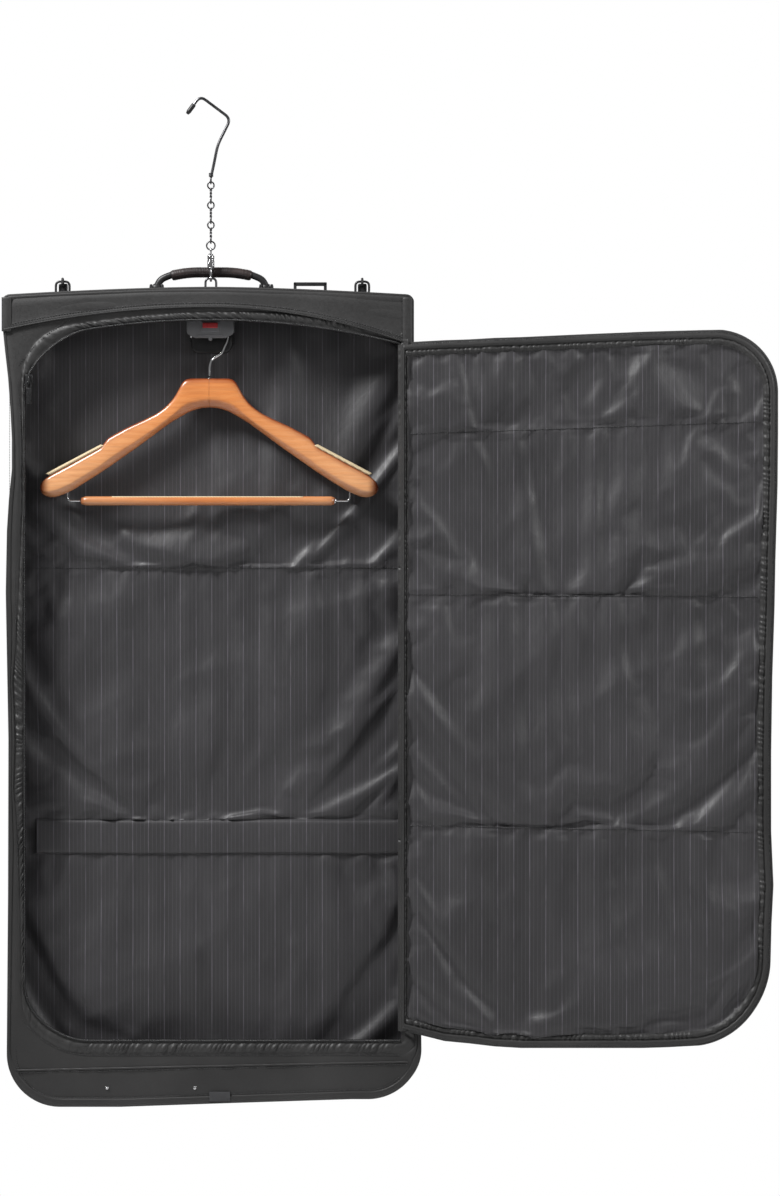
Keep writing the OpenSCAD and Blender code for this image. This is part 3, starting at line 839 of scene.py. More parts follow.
def header_flap():
    """The header's front: a stiff layer whose lower edge laps over the gathered strip."""
    columns, rows = 240, 12
    x = np.linspace(LEFT + 2.5 * MM, RIGHT - 8.5 * MM, columns)
    low_z = header_seam(x)
    high_z = TOP + edge_rise(x, np.full(columns, TOP)) - 1 * MM
    points = []
    for t in np.linspace(0, 1, rows):
        z = low_z + (high_z - low_z) * t
        wave = noise_at(np.stack([x, x * 0, z], 1), (11, 1, 20), 61)
        proud = 3.0 + 1.9 * np.exp(-t / 0.12) - 2.4 * max(0, t - 0.75) / 0.25
        points.append(np.stack([x, FRONT - MM * (proud + 0.7 * wave), z], 1))
    flap = add_mesh("header_flap", np.concatenate(points), grid_faces(rows, columns))
    thicken(flap, 1.4 * MM)
    place(flap, "shell_fabric", "upper")
    hem = []
    for above, proud in ((1.3, 5.2), (5.2, 4.2)):
        y = np.full(columns, FRONT - proud * MM)
        path = np.stack([x, y, low_z + above * MM], 1)
        hem.append(dashes(path[3:-3], 3.6 * MM))
    stitches = joined("header_stitching", hem)
    place(stitches, "webbing", "upper")
    edge = tube("header_edge", np.stack([x, np.full(columns, FRONT - 4.7 * MM), low_z], 1), 1.0, 8)
    place(edge, "shell_fabric", "upper")
    for side, name in ((-1, "header_end_left"), (1, "header_end_right")):
        at = x[0] + 4 * MM if side < 0 else x[-1] - 4 * MM
        bottom = low_z[0] if side < 0 else low_z[-1]
        path = [(at, FRONT - 3.4 * MM, z) for z in np.linspace(bottom - 2 * MM, high_z[0] - 1 * MM, 24)]
        end = tube(name, path, 6.5, 14, flat=(Y, 0.28))
        place(end, "shell_fabric", "upper")


def bottom_seam():
    """The seam under the opening where the hem's facing is sewn on."""
    x = np.linspace(LEFT + 20 * MM, RIGHT - 12 * MM, 240)
    z = -1031 * MM + 11 * MM * (x - x[0]) / (x[-1] - x[0])
    y = FRONT - 2.3 * MM + 0.5 * MM * ripple(x, 24 * MM, 2)
    cord = tube("hem_seam", np.stack([x, y, z], 1), 1.3, 8, flat=(Y, 0.8))
    place(cord, "shell_fabric", "lower")
    stitches = dashes(np.stack([x, y - 0.2 * MM, z - 3.4 * MM], 1), 3.6 * MM)
    stitches.name = "hem_stitching"
    place(stitches, "webbing", "lower")


def dashes(path, pitch):
    """A row of short raised stitches along a path."""
    path = resample(path, pitch)
    stitches = []
    for a, b in zip(path, path[1:]):
        middle, half = (a + b) / 2, (b - a) * 0.33
        stitches.append(tube("stitch", [middle - half, middle, middle + half], 0.42, 4))
    return joined("stitches", stitches)


def piping(name, loop, depth, radius):
    """A round edge along a closed loop."""
    return tube(name, with_depth(loop, depth), radius, 8, closed=True)


def toothed(path, name, radius, pitch):
    """A zip coil: a flattened tube whose thickness rises and falls once a tooth."""
    fine = resample(path, pitch / 3)
    wave = 0.75 + 0.25 * np.cos(2 * pi * np.arange(len(fine)) / 3)
    return tube(name, fine, radius * wave, 6)


def kept_run(loop, keep):
    """The kept points of a closed loop, in order along it."""
    start = np.flatnonzero(keep & ~np.roll(keep, 1))[0]
    return np.roll(loop, -start, 0)[np.roll(keep, -start)]


def open_side(loop):
    return kept_run(loop, loop[:, 0] < HINGE - 2 * MM)


def trim_of_shell():
    for depth, label in ((FRONT - 0.2 * MM, "front"), (BACK - 0.5 * MM, "back")):
        cord = piping("piping", bag_loop(), depth, 2.0)
        ride_on_bag(cord, "piping_" + label, "shell_fabric")
    path = with_depth(open_side(opening_loop(1.5 * MM)), FRONT - 1.6 * MM)
    coil = toothed(path, "coil", 1.7, 2.2 * MM)
    ride_on_bag(coil, "zip_coil", "zip_plastic")
    stitched(opening_loop(20.6 * MM), FRONT - 1.5 * MM, "rim_stitching")
    inside = bag_loop(10.6 * MM)
    stitched(inside[inside[:, 1] < -0.1], FRONT - 1.7 * MM, "edge_stitching")
    header_flap()
    bottom_seam()


def stitched(loop, depth, name, pitch=3.4 * MM):
    """A row of stitches along the open side of a loop."""
    ride_on_bag(dashes(with_depth(open_side(loop), depth), pitch), name, "webbing")


# ---------------------------------------------------------------- lining


def level_seam(height):
    return lambda x: height + 0 * x


def lining():
    left, right = low("lining_upper").x + 2 * MM, high("lining_upper").x - 2 * MM
    lower, upper = low("lining_lower").z + 3 * MM, high("lining_upper").z - 2 * MM
    x, z = rounded_grid(left, right, lower, upper, (CORNER, CORNER, 4 * MM, 4 * MM), 96, 190)
    seams = [level_seam(height) for height in (FOLD_1, *BAND)]
    pinned = tied_rows(x, z, seams)
    sheet, lines = soft_sheet("lining", x, z, LINING_Y, pinned, 0.03, (13 * MM, 3 * MM), seams[:1], 3.0)
    points = coordinates_of(sheet)
    behind_band = (points[:, 2] < BAND[0]) & (points[:, 2] > BAND[1])
    points[behind_band, 1] = np.maximum(points[behind_band, 1], LINING_Y)
    move_to(sheet, points)
    pieces = ride_on_bag(sheet, "lining", "lining_satin")
    ride_on_bag(dashes(lines[0], 3.2 * MM), "lining_stitching", "webbing")
    fold_band()


def fold_band():
    """The stiff double strip over the lower fold."""
    upper, lower = BAND
    left, right = low("fold_band_top").x, high("fold_band_top").x
    columns, rows = 160, 16
    x, z = np.meshgrid(np.linspace(left, right, columns), np.linspace(lower, upper, rows))
    points = np.stack([x.ravel(), np.zeros(x.size), z.ravel()], 1)
    across = (points[:, 2] - lower) / (upper - lower)
    edge = np.minimum(across, 1 - across)
    soft = noise_at(points, (12, 1, 8), 12)
    points[:, 1] = LINING_Y - MM * (3.2 - 2.2 * np.exp(-edge / 0.03) + 1.2 * np.sin(pi * across) - 0.8 * soft)
    points[:, 2] += MM * 1.5 * noise_at(points, (6, 1, 1), 4)
    sheet = add_mesh("fold_band", points, grid_faces(rows, columns))
    finish_as(sheet, "lining_satin")
    thicken(sheet, 1.2 * MM)
    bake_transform(sheet)


# ---------------------------------------------------------------- lid


LID_ACROSS = [0, 0.115, 0.18, 0.25, 0.32, 0.5, 0.65, 0.72, 0.80, 1]
LID_TOP_EDGE = [-88, -85, -84, -82, -81, -77, -74, -73, -72, -70]
LID_BOTTOM_EDGE = [-976, -990, -993, -997, -999, -999, -999, -998, -996, -993]
LID_HEIGHTS = [-0.95, -0.90, -0.84, -0.79, -0.72, -0.62, -0.52, -0.43, -0.37, -0.27, -0.20]
LID_DRAWN_IN = [12, 10, 8.5, 6, 9, 9, 7.5, 4.6, 3.5, 0.6, 0]


def lid_edge(loop):
    """Moves a straight-edged lid outline to its sagging shape."""
    x, z = loop[:, 0], loop[:, 1]
    u = np.clip((x - HINGE) / (LID_RIGHT - HINGE), 0, 1)
    v = np.clip((z - LID_BOTTOM) / (LID_TOP - LID_BOTTOM), 0, 1)
    top, bottom = MM * np.interp(u, LID_ACROSS, LID_TOP_EDGE), MM * np.interp(u, LID_ACROSS, LID_BOTTOM_EDGE)
    new_z = bottom + (top - bottom) * v
    new_x = x - MM * np.interp(new_z, LID_HEIGHTS, LID_DRAWN_IN) * u ** 3
    return np.stack([new_x, new_z], 1)


def lid_loop(inset=0.0):
    upper_corner = max(OPEN_CORNER - 4 * MM - inset, 3 * MM)
    lower_corner = max(LID_CORNER - inset, 3 * MM)
    loop = outline(
        HINGE + 1 * MM + inset * 0.3, LID_RIGHT - inset, LID_BOTTOM + inset, LID_TOP - inset,
        (2 * MM, lower_corner, upper_corner, 2 * MM),
    )
    return lid_edge(loop)


def lid_seam(left, right):
    """A seam across the lid's lining from one height at the hinge to another at the free edge."""
    return lambda x: left + (right - left) * np.clip((x - HINGE) / (LID_RIGHT - HINGE), 0, 1)


LID_SEAMS = [lid_seam(-0.205, -0.188), lid_seam(-0.413, -0.416), lid_seam(-0.712, -0.722)]


def lid_lining():
    inset = 15 * MM
    upper_corner, lower_corner = OPEN_CORNER - 4 * MM - inset, LID_CORNER - inset
    x, z = rounded_grid(
        HINGE + 5 * MM, LID_RIGHT - inset, LID_BOTTOM + inset, LID_TOP - inset,
        (3 * MM, lower_corner, upper_corner, 3 * MM), 88, 170)
    shaped = lid_edge(np.stack([x.ravel(), z.ravel()], 1))
    x, z = shaped[:, 0].reshape(x.shape), shaped[:, 1].reshape(z.shape)
    bend_rows(z, x, LID_SEAMS)
    pinned = tied_rows(x, z, LID_SEAMS)
    sheet, lines = soft_sheet(
        "lid_lining", x, z, LID_FRONT + 2 * MM, pinned, 0.04, (8.5 * MM, 6 * MM), LID_SEAMS, 11.0)
    pieces = ride_on_lid(sheet, "lid_satin", "lining_satin")
    for line, part, body in zip(lines, ("upper", "middle", "lower"), ("lid_upper", "lid_middle", "lid_middle")):
        stitches = dashes(line, 3.2 * MM)
        stitches.name = "lid_stitching_" + part
        place(stitches, "webbing", body)


def lid_shell():
    """Gathered strip round the lining, bound edge and the padded outside of the lid."""
    outer = lid_loop()
    s = arc_length(outer)
    rings = []
    for inset in (17, 15.6, 14, 12.4, 11, 9.4, 8, 7.4, 5, 2.5, 0.5, 0):
        across = np.clip((17 - inset) / 9.6, 0, 1)
        depth = LID_FRONT + MM * (2.2 - 3.0 * np.sin(pi * across))
        depth = depth + gathers(s, across, 7.5 * MM, 2.0 * MM, 2)
        if inset < 8:
            depth = LID_FRONT + MM * np.interp(inset, [0, 0.5, 2.5, 7.4, 8], [4, 1.6, -1.4, -1.5, 1.2])
        rings.append(with_depth(lid_loop(inset * MM), depth))
    for inset in (0, 1.5, 4, 9, 16, 28, 44, 64, 88, 116, 146, 178, 206, 228):
        loop = lid_loop(inset * MM)
        puff = min(1, inset / 16)
        points = with_depth(loop, LID_BACK - 4 * MM)
        soft = noise_at(points, (6, 1, 5), 51) + 0.5 * noise_at(points, (18, 1, 12), 57)
        points[:, 1] += MM * (3.0 * puff + 1.6 * soft * puff)
        rings.append(points)
    count = len(outer)
    faces = [*grid_faces(len(rings), count, True), last_cap(len(rings), count)]
    obj = face_out(add_mesh("lid_shell", np.concatenate(rings), faces))
    for piece in ride_on_lid(obj, "lid_shell", "shell_fabric"):
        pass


def outside_pocket(name, body, x0, x1, z0, z1, y, zip_drop):
    """A flat patch pocket on the back, with a bound edge and a zip across its top."""
    r = 22 * MM
    x, z = rounded_grid(x0, x1, z0, z1, (r, r, 6 * MM, 6 * MM), 64, 48)
    u = np.clip(np.minimum(x - x0, x1 - x) / (14 * MM), 0, 1)
    v = np.clip(np.minimum(z - z0, z1 - z) / (14 * MM), 0, 1)
    points = np.stack([x.ravel(), np.zeros(x.size), z.ravel()], 1)
    soft = (noise_at(points, (8, 1, 6), x0 * 9) + 0.5 * noise_at(points, (24, 1, 18), z0 * 9)).reshape(x.shape)
    puff = MM * (0.8 + (2.0 + 1.2 * soft) * np.minimum(u, v) ** 0.6)
    groove = np.exp(-((z - (z1 - zip_drop)) / (4 * MM)) ** 2)
    points[:, 1] = (y + puff - 1.2 * MM * groove * u).ravel()
    panel = add_mesh(name, points, grid_faces(48, 64))
    thicken(panel, 1.2 * MM, 0)
    place(panel, "shell_fabric", body)
    rim = with_depth(outline(x0, x1, z0, z1, (r, r, 6 * MM, 6 * MM), 60, 60, 12), y + 0.6 * MM)
    binding = tube(name + "_binding", rim, 1.6, 8, True)
    place(binding, "shell_fabric", body)
    run = np.array([(x, y + 1.9 * MM, z1 - zip_drop) for x in np.linspace(x0 + 14 * MM, x1 - 14 * MM, 20)])
    teeth = toothed(run, name + "_zip", 2.0, 2.4 * MM)
    place(teeth, "zip_plastic", body)
    at = Vector((x0 + 24 * MM, y + 4.4 * MM, z1 - zip_drop))
    runner = joined(name + "_runner", [
        block("plate", at + mm(-6, -1.6, -4), at + mm(6, 1.6, 4), 1.2),
        block("tab", at + mm(3, -1, -25), at + mm(10, 1, 3), 0.8),
    ])
    place(runner, "zip_plastic", body)


def outside_pockets():
    x0, x1, y = HINGE + 45 * MM, LID_RIGHT - 50 * MM, LID_BACK - 1 * MM
    for section, z0, z1 in (
        ("upper", FOLD_1 + 22 * MM, LID_TOP - 60 * MM),
        ("middle", FOLD_2 + 22 * MM, FOLD_1 - 24 * MM),
        ("lower", LID_BOTTOM + 70 * MM, FOLD_2 - 24 * MM),
    ):
        outside_pocket("lid_pocket_" + section, "lid_" + section, x0, x1, z0, z1, y, 20 * MM)
    x0, x1 = LEFT + 50 * MM, RIGHT - 50 * MM
    outside_pocket("back_pocket", "middle", x0, x1, FOLD_2 + 30 * MM, FOLD_1 - 30 * MM, BACK, 24 * MM)


def lid_trim():
    edge = piping("lid_piping", lid_loop(-0.5 * MM), (LID_FRONT + LID_BACK) / 2, 2.6)
    ride_on_lid(edge, "lid_piping", "shell_fabric")
    loop = lid_loop(1.5 * MM)
    path = with_depth(kept_run(loop, loop[:, 0] > HINGE + 12 * MM), LID_FRONT + 1 * MM)
    ride_on_lid(toothed(path, "lid_coil", 1.6, 2.2 * MM), "lid_coil", "zip_plastic")


def lid_hinge_strip():
    """The bound strip along the sewn edge, one length for each section."""
    for section, upper, lower in (
        ("upper", LID_TOP - 10 * MM, FOLD_1),
        ("middle", FOLD_1, FOLD_2),
        ("lower", FOLD_2, LID_BOTTOM + 16 * MM),
    ):
        rows, columns = int((upper - lower) / (3 * MM)), 12
        z = np.linspace(lower, upper, rows)
        points = []
        for height, pucker in zip(z, ripple(z, 9 * MM, 3)):
            for a in np.linspace(0, 1, columns):
                y = FRONT - MM * (0.8 + 12.0 * a ** 1.6 + 1.1 * sin(pi * a) * pucker)
                points.append((HINGE - 5 * MM + 13 * MM * a, y, height))
        strip = add_mesh("hinge_strip_" + section, points, grid_faces(rows, columns))
        finish_as(strip, "shell_fabric")
        thicken(strip, 0.9 * MM)
        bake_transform(strip)


# ---------------------------------------------------------------- handle, eye, hook and chain


def handle():
    foot_x, y, pin_z = centre("handle_tabs").x + 72 * MM, centre("handle_strap").y, pivot("handle_flop").z
    top = high("handle_grip").z - 5.8 * MM
    half = [
        (foot_x, y, pin_z + 1 * MM), (foot_x - 5 * MM, y, top - 9 * MM),
        (foot_x - 20 * MM, y, top - 2.5 * MM), (28 * MM, y, top + 1.5 * MM),
    ]
    path = smooth_path([(-x, y, z) for x, y, z in half] + half[::-1], 12, 2)
    eye = [(2.1, -4.6), (4.8, -4.6), (5.6, -3), (5.6, 3), (4.8, 4.6), (2.1, 4.6)]
    parts = [tube("handle_core", path, 4.6, 14, flat=(Y, 0.9))]
    parts += [lathe("eye", eye, (side * foot_x, y, pin_z), axis="X") for side in (-1, 1)]
    place(joined("handle_core", parts), "black_plastic", "handle", "handle_strap")
    grip_path = resample(path[np.abs(path[:, 0]) < 53 * MM], 0.8 * MM)
    grip_path[:, 2] -= 1.2 * MM
    t = np.linspace(0, 1, len(grip_path))
    ends = np.clip(np.minimum(t, 1 - t) / 0.03, 0, 1) ** 0.5
    gap = 1 - 0.22 * np.exp(-((t - 0.5) / 0.008) ** 2)
    wrinkles = 1 + 0.012 * ripple(t, 0.03, 4)
    grip = tube("handle_grip_padded", grip_path, 6.9 * (0.76 + 0.24 * ends) * gap * wrinkles, 28)
    place(grip, "grip_leather", "handle", "handle_grip")
    seam = dashes(grip_path[8:-8] + np.array([0, -6.5 * MM, -2.2 * MM]), 3 * MM)
    seam.name = "handle_seam"
    place(seam, "webbing", "handle")
    feet(foot_x, y, pin_z)


def feet(foot_x, y, pin_z):
    rivet = [(0.2, 0), (2.2, 0), (2.6, 0.6), (0.2, 1.2)]
    parts = []
    for side in (-1, 1):
        foot, pin = Vector((side * foot_x, y, TOP)), Vector((side * foot_x, y, pin_z))
        parts.append(block("base", foot + mm(-12, -9, -0.5), foot + mm(12, 9, 2.5), 1.2))
        for ear in (-7.2, 7.2):
            parts.append(block("ear", foot + mm(ear - 1.9, -4.5, 1), pin + mm(ear + 1.9, 4.5, 4.6), 1.5))
            parts.append(lathe("rivet", rivet, foot + mm(ear * 1.35, 0, 2.3), 16))
        parts.append(lathe("pin", [(2, -9.5), (2, 9.5)], pin, axis="X"))
    place(joined("handle_feet", parts), "black_plastic", "upper", "handle_tabs")


def ring_path(middle, radius_1, radius_2, axis_1, axis_2, count=40):
    c, u, v = (np.array(tuple(p), float) for p in (middle, axis_1, axis_2))
    angles = [2 * pi * k / count for k in range(count)]
    return [c + MM * (radius_1 * cos(a) * u + radius_2 * sin(a) * v) for a in angles]


def chain():
    wire, loop = 1.0, 4.5
    for name in ("link_3", "link_2", "link_1"):
        bottom, top = low(name).z, high(name).z
        to_centre, to_twist = (wire + loop) * MM, (wire + 2 * loop) * MM
        parts = [
            tube("loop", ring_path((0, 0, bottom + to_centre), loop * 0.92, loop, Y, Z), wire, 10, True),
            tube("loop", ring_path((0, 0, top - to_centre), loop * 0.92, loop, X, Z), wire, 10, True),
        ]
        start, end = bottom + to_twist, top - to_twist
        heights = np.linspace(start - 1 * MM, end + 1 * MM, 40)
        for phase in (0, pi):
            turn = phase + (heights - start) / (end - start) * 2.5 * pi
            twist = [(0.85 * MM * cos(a), 0.85 * MM * sin(a), h) for a, h in zip(turn, heights)]
            parts.append(tube("twist", twist, wire * 0.85, 8))
        place(joined("wire_" + name, parts), "dark_steel", "chain_" + name, name)
    ring = tube("wire_ring", ring_path(centre("ring"), 5.5, 5.5, X, Z, 56), wire, 12, True)
    place(ring, "dark_steel", "round_ring", "ring")


def hook():
    base = Vector((0, 0, pivot("hook_swing").z + 9 * MM))
    bends = ((0, -0.8), (3, 12), (9, 42), (26, 76), (-14, 106), (-30, 84))
    path = smooth_path([base + mm(x, 0, z) for x, z in bends], 9, 1.5)
    parts = [
        tube("eye", ring_path(base + mm(0, 0, -4.5), 4.2, 4.5, Y, Z), 1.0, 10, True),
        tube("steel", path, 1.9, 16),
    ]
    for turn in range(3):
        wrap = ring_path(base + mm(0.25, 0, 0.8 + 1.7 * turn), 2.3, 2.3, X, Y, 24)
        parts.append(tube("wrap", wrap, 0.8, 8, True))
    place(joined("bent_hook", parts), "dark_steel", "hook", "hook_wire")
    tip = path[-10:].copy()
    tip[-1] += (tip[-1] - tip[-2]) * 1.2
    sleeve = tube("rubber_sleeve", tip, [2.7, *[3.1] * (len(tip) - 3), 3.0, 2.0], 16)
    place(sleeve, "black_plastic", "hook", "hook_sleeve")


def snap():
    y = 5
    bow = smooth_path([mm(0, y, 16), mm(0, y, -1.65), mm(0, -y, -1.65), mm(0, -y, 2.5)], 5, 1)
    barrel = [(3.6, 13), (4.6, 14.5), (4.6, 25), (3.9, 26), (4.5, 27), (4.5, 31), (3.6, 32)]
    place(joined("spring_snap", [
        tube("bow", bow, 1.5, 12),
        lathe("barrel", barrel, (0, 0, 0)),
        block("cheek", mm(-3.6, -7.6, 14), mm(3.6, 6.6, 22), 1.4),
    ]), "bright_steel", "snap", "snap_body")
    place(joined("snap_bolt", [
        lathe("bolt", [(1.0, 2.6), (1.35, 3), (1.35, 15), (1.0, 15.4)], mm(0, -y, 0), 18),
        block("stud", mm(-1.2, -10, 13), mm(1.2, -y, 15.6), 0.6),
    ]), "bright_steel", "trigger", "snap_trigger")
    eye_z = high("snap_eye").z - 4.2 * MM
    place(joined("swivel_eye", [
        tube("eye", ring_path((0, 0, eye_z), 3.2, 3.2, Y, Z), 1.0, 10, True),
        lathe("collar", [(1.5, 32.2), (3, 32.4), (3, 33.4), (1.6, 34.6)], (0, 0, 0), 20),
    ]), "bright_steel", "swivel", "snap_eye")
    root = Vector((0, 0, TOP - 4 * MM))
    bail = smooth_path([root + mm(-7, 0, 0), mm(-7, 0, 1.5), mm(7, 0, 1.5), root + mm(7, 0, 0)], 6, 1)
    place(tube("wire_bail", bail, 1.5, 12), "dark_steel", "upper", "hang_bail")


# ---------------------------------------------------------------- clamp and hanger


def clamp():
    lo, hi = low("clamp_cover"), high("clamp_cover")
    pin = Vector((0, pivot("cover_hinge").y, pivot("cover_hinge").z))
    front = Vector((0, lo.y, lo.z))
    button_lo, button_hi = low("lock_button"), high("lock_button")
    frame_lo, frame_hi = Vector((button_lo.x, lo.y, button_lo.z)), Vector((button_hi.x, lo.y, button_hi.z))
    parts = [
        clamp_face(lo, hi),
        block("frame", frame_lo + mm(-2.2, -0.8, -5), frame_hi + mm(2.2, 2, 2), 0.8),
        lathe("knuckle", [(2.6, -22), (3.5, -21), (3.5, 21), (2.6, 22)], pin, axis="X"),
        block("rib", front + mm(-17, -0.7, 2), front + mm(17, 2, 4.5), 0.8),
        lathe("catch", [(0.2, -1.5), (2, -1.2), (2.6, 0), (2.6, 3)], front + mm(0, 1.5, -1), 20, axis="Y"),
    ]
    for side in (-1, 1):
        x0, x1 = sorted((side * hi.x, side * (hi.x - 3 * MM)))
        parts.append(block("cheek", (x0, lo.y + 1 * MM, lo.z + 8 * MM), (x1, -1.5 * MM, hi.z - 7 * MM), 1))
    place(joined("clamp_housing", parts), "grey_plastic", "cover", "clamp_cover")
    button = block("release_button", button_lo + mm(0, -1, 0), button_hi, 1.4, 4)
    place(button, "red_plastic", "button", "lock_button")
    plate_lo, plate_hi = low("clamp_backplate"), high("clamp_backplate")
    parts = [
        block("plate", (plate_lo.x, plate_hi.y - 3 * MM, plate_lo.z + 14 * MM), plate_hi, 1.2),
        plate_tongue(plate_lo, plate_hi),
        block("shelf", (plate_lo.x, -8 * MM, plate_hi.z - 2.5 * MM), plate_hi, 0.8),
    ]
    for side in (-1, 1):
        x = side * 24.5
        end = Vector((0, pin.y, plate_hi.z)) + mm(x + 1.5, 3.5, 0)
        parts.append(block("ear", pin + mm(x - 1.5, -3.5, -3.5), end, 1))
    place(joined("clamp_plate", parts), "black_plastic", "upper", "clamp_backplate")


def clamp_face(lo, hi):
    """The cover's front plate, with its two lower corners rounded off."""
    face = block("face", lo, (hi.x, lo.y + 4 * MM, hi.z - 3 * MM), 1.8)
    bm = bmesh.new()
    bm.from_mesh(face.data)
    bmesh.ops.subdivide_edges(bm, edges=bm.edges[:], cuts=5, use_grid_fill=True)
    corner = 11 * MM
    for v in bm.verts:
        past = max(0.0, abs(v.co.x) - (hi.x - corner))
        if v.co.z < (lo.z + hi.z) / 2:
            rise = corner - (max(0.0, corner ** 2 - min(past, corner) ** 2)) ** 0.5
            v.co.z += rise * (1 - (v.co.z - lo.z) / (hi.z - lo.z))
    bm.to_mesh(face.data)
    bm.free()
    return face


def plate_tongue(plate_lo, plate_hi):
    """The plate's rounded lower end, which stands a little forward."""
    half, radius = plate_hi.x - 2 * MM, 11 * MM
    corners = (radius, radius, 2 * MM, 2 * MM)
    rim = outline(-half, half, plate_lo.z, plate_lo.z + 24 * MM, corners, 12, 8, 10)
    rows = [(0.86, -6.2), (0.95, -6.0), (1, -5.0), (1, 0)]
    middle = rim.mean(0)
    points = [(x, plate_hi.y + y * MM, z) for scale, y in rows for x, z in middle + (rim - middle) * scale]
    faces = grid_faces(len(rows), len(rim), True) + caps(len(rows), len(rim))
    return face_out(add_mesh("tongue", points, faces))


ARM_STATIONS = 110
ARM_TOP = [
    (0, -129.5), (26, -129.5), (32, -131), (36, -135), (41, -146), (47, -156), (56, -166), (68, -175),
    (86, -184), (106, -193), (130, -206), (135, -209), (137, -214), (141, -219.5), (175, -238.5),
    (208, -256.5), (215, -261), (220, -267), (222, -273),
]
ARM_LOW = [
    (0, -167.5), (12, -168.5), (26, -173), (50, -187), (96, -221), (141, -252.5), (180, -277),
    (196, -284), (206, -286), (215, -284), (220, -279), (222, -275),
]
# Points round the arm's section, each as (depth, height) from -1 to 1 and how much painted shade darkens it
# there
ARM_SECTION = [
    (-0.93, 0.55, 0.10), (-0.86, 0.78, 0.45), (-0.66, 0.93, 0.9), (-0.35, 1, 1), (0.2, 1, 1),
    (0.62, 0.92, 0.9), (0.88, 0.70, 0.7), (1, 0.3, 0.5), (1, -0.3, 0.5), (0.88, -0.7, 0.7),
    (0.62, -0.92, 0.9), (0.2, -1, 0.9), (-0.10, -1, 0.75), (-0.30, -0.97, 0.5), (-0.96, -0.52, 0.28),
    (-1, -0.46, 0.06), (-1, -0.1, 0), (-0.99, 0.3, 0),
]


def hanger_arm(name, side, x_centre, y_centre):
    """A contoured arm: a flat front, a wide bevel below it, a round back and a forward bend to its end."""
    along = np.concatenate([[0.06, 0.2, 0.5, 1], np.linspace(2.5, 221.8, ARM_STATIONS - 4)])
    top = np.interp(along, *zip(*ARM_TOP))
    low_edge = np.interp(along, *zip(*ARM_LOW))
    kernel = np.array([1, 2, 3, 2, 1]) / 9
    for line in (top, low_edge):
        line[3:-3] = np.convolve(line, kernel, "same")[3:-3]
    points, painted_shades = [], []
    for x, high_z, low_z in zip(along, top, low_edge):
        middle, half = (high_z + low_z) / 2, max((high_z - low_z) / 2, 0.8)
        depth = 10 - 1.5 * np.exp(-((x - 95) / 55) ** 2)
        depth *= np.sqrt(max(0.03, 1 - (max(0, x - 206) / 16.4) ** 2))
        forward = -5.0 * (x / 222) ** 2
        # tip: painted shade that darkens the arm's rounded end fully
        tip = np.clip((x - 208) / 12, 0, 1)
        for a, b, dark in ARM_SECTION:
            y = y_centre + (forward + a * depth) * MM
            points.append((x_centre + side * x * MM, y, (middle + b * half) * MM))
            painted_shades.append(max(dark, tip))
    around = len(ARM_SECTION)
    faces = grid_faces(ARM_STATIONS, around, True) + caps(ARM_STATIONS, around)
    arm = face_out(painted_shade(add_mesh(name, points, faces), painted_shades))
    smooth = arm.modifiers.new("smooth", "SUBSURF")
    smooth.levels = smooth.render_levels = 1
    return arm


def hanger():
    x_centre, y_centre = pivot("hanger_turn").x, pivot("hanger_turn").y
    for side, label in ((-1, "left"), (1, "right")):
        arm = hanger_arm("wood_arm_" + label, side, x_centre, y_centre)
        place(arm, "hanger_wood", "hanger", "hanger_arm_" + label)
    strips = []
    for side in (-1, 1):
        path = [
            (x_centre + side * x * MM, y_centre - 5.0 * MM * (x / 222) ** 2, (-217.4 - (x - 139) * 0.533) * MM)
            for x in np.linspace(139, 211, 40)
        ]
        strips.append(tube("strip", path, 7.5, 16, flat=(Z, 0.2)))
    place(joined("pale_inlays", strips), "inlay", "hanger", "hanger_inlays")
    crown = 24 * MM
    middle = high("hanger_hook").z - 1.75 * MM - crown
    arc = [
        (x_centre + crown * cos(a), y_centre, middle + crown * sin(a))
        for a in np.radians(np.linspace(184, -32, 60))
    ]
    tail = smooth_path([
        arc[-1],
        (x_centre + 17 * MM, y_centre, middle - 22 * MM),
        (x_centre + 2.5 * MM, y_centre, middle - 31 * MM),
        (x_centre, y_centre, middle - 40 * MM),
        (x_centre, y_centre, -132 * MM),
    ], 9, 1.5)
    hook_path = resample(np.array([*arc, *tail[1:]]), 1.5 * MM)
    collar = [(1.5, 0.2), (5, 0.2), (4.4, 1.3), (2.3, 2.2), (1.8, 5)]
    steel = joined("polished_hook", [
        tube("polished_hook", hook_path, 1.75, 14),
        lathe("collar", collar, (x_centre, y_centre, -131 * MM), 24),
    ])
    place(steel, "bright_steel", "hanger_neck", "hanger_hook")
    trouser_bar(x_centre, y_centre)


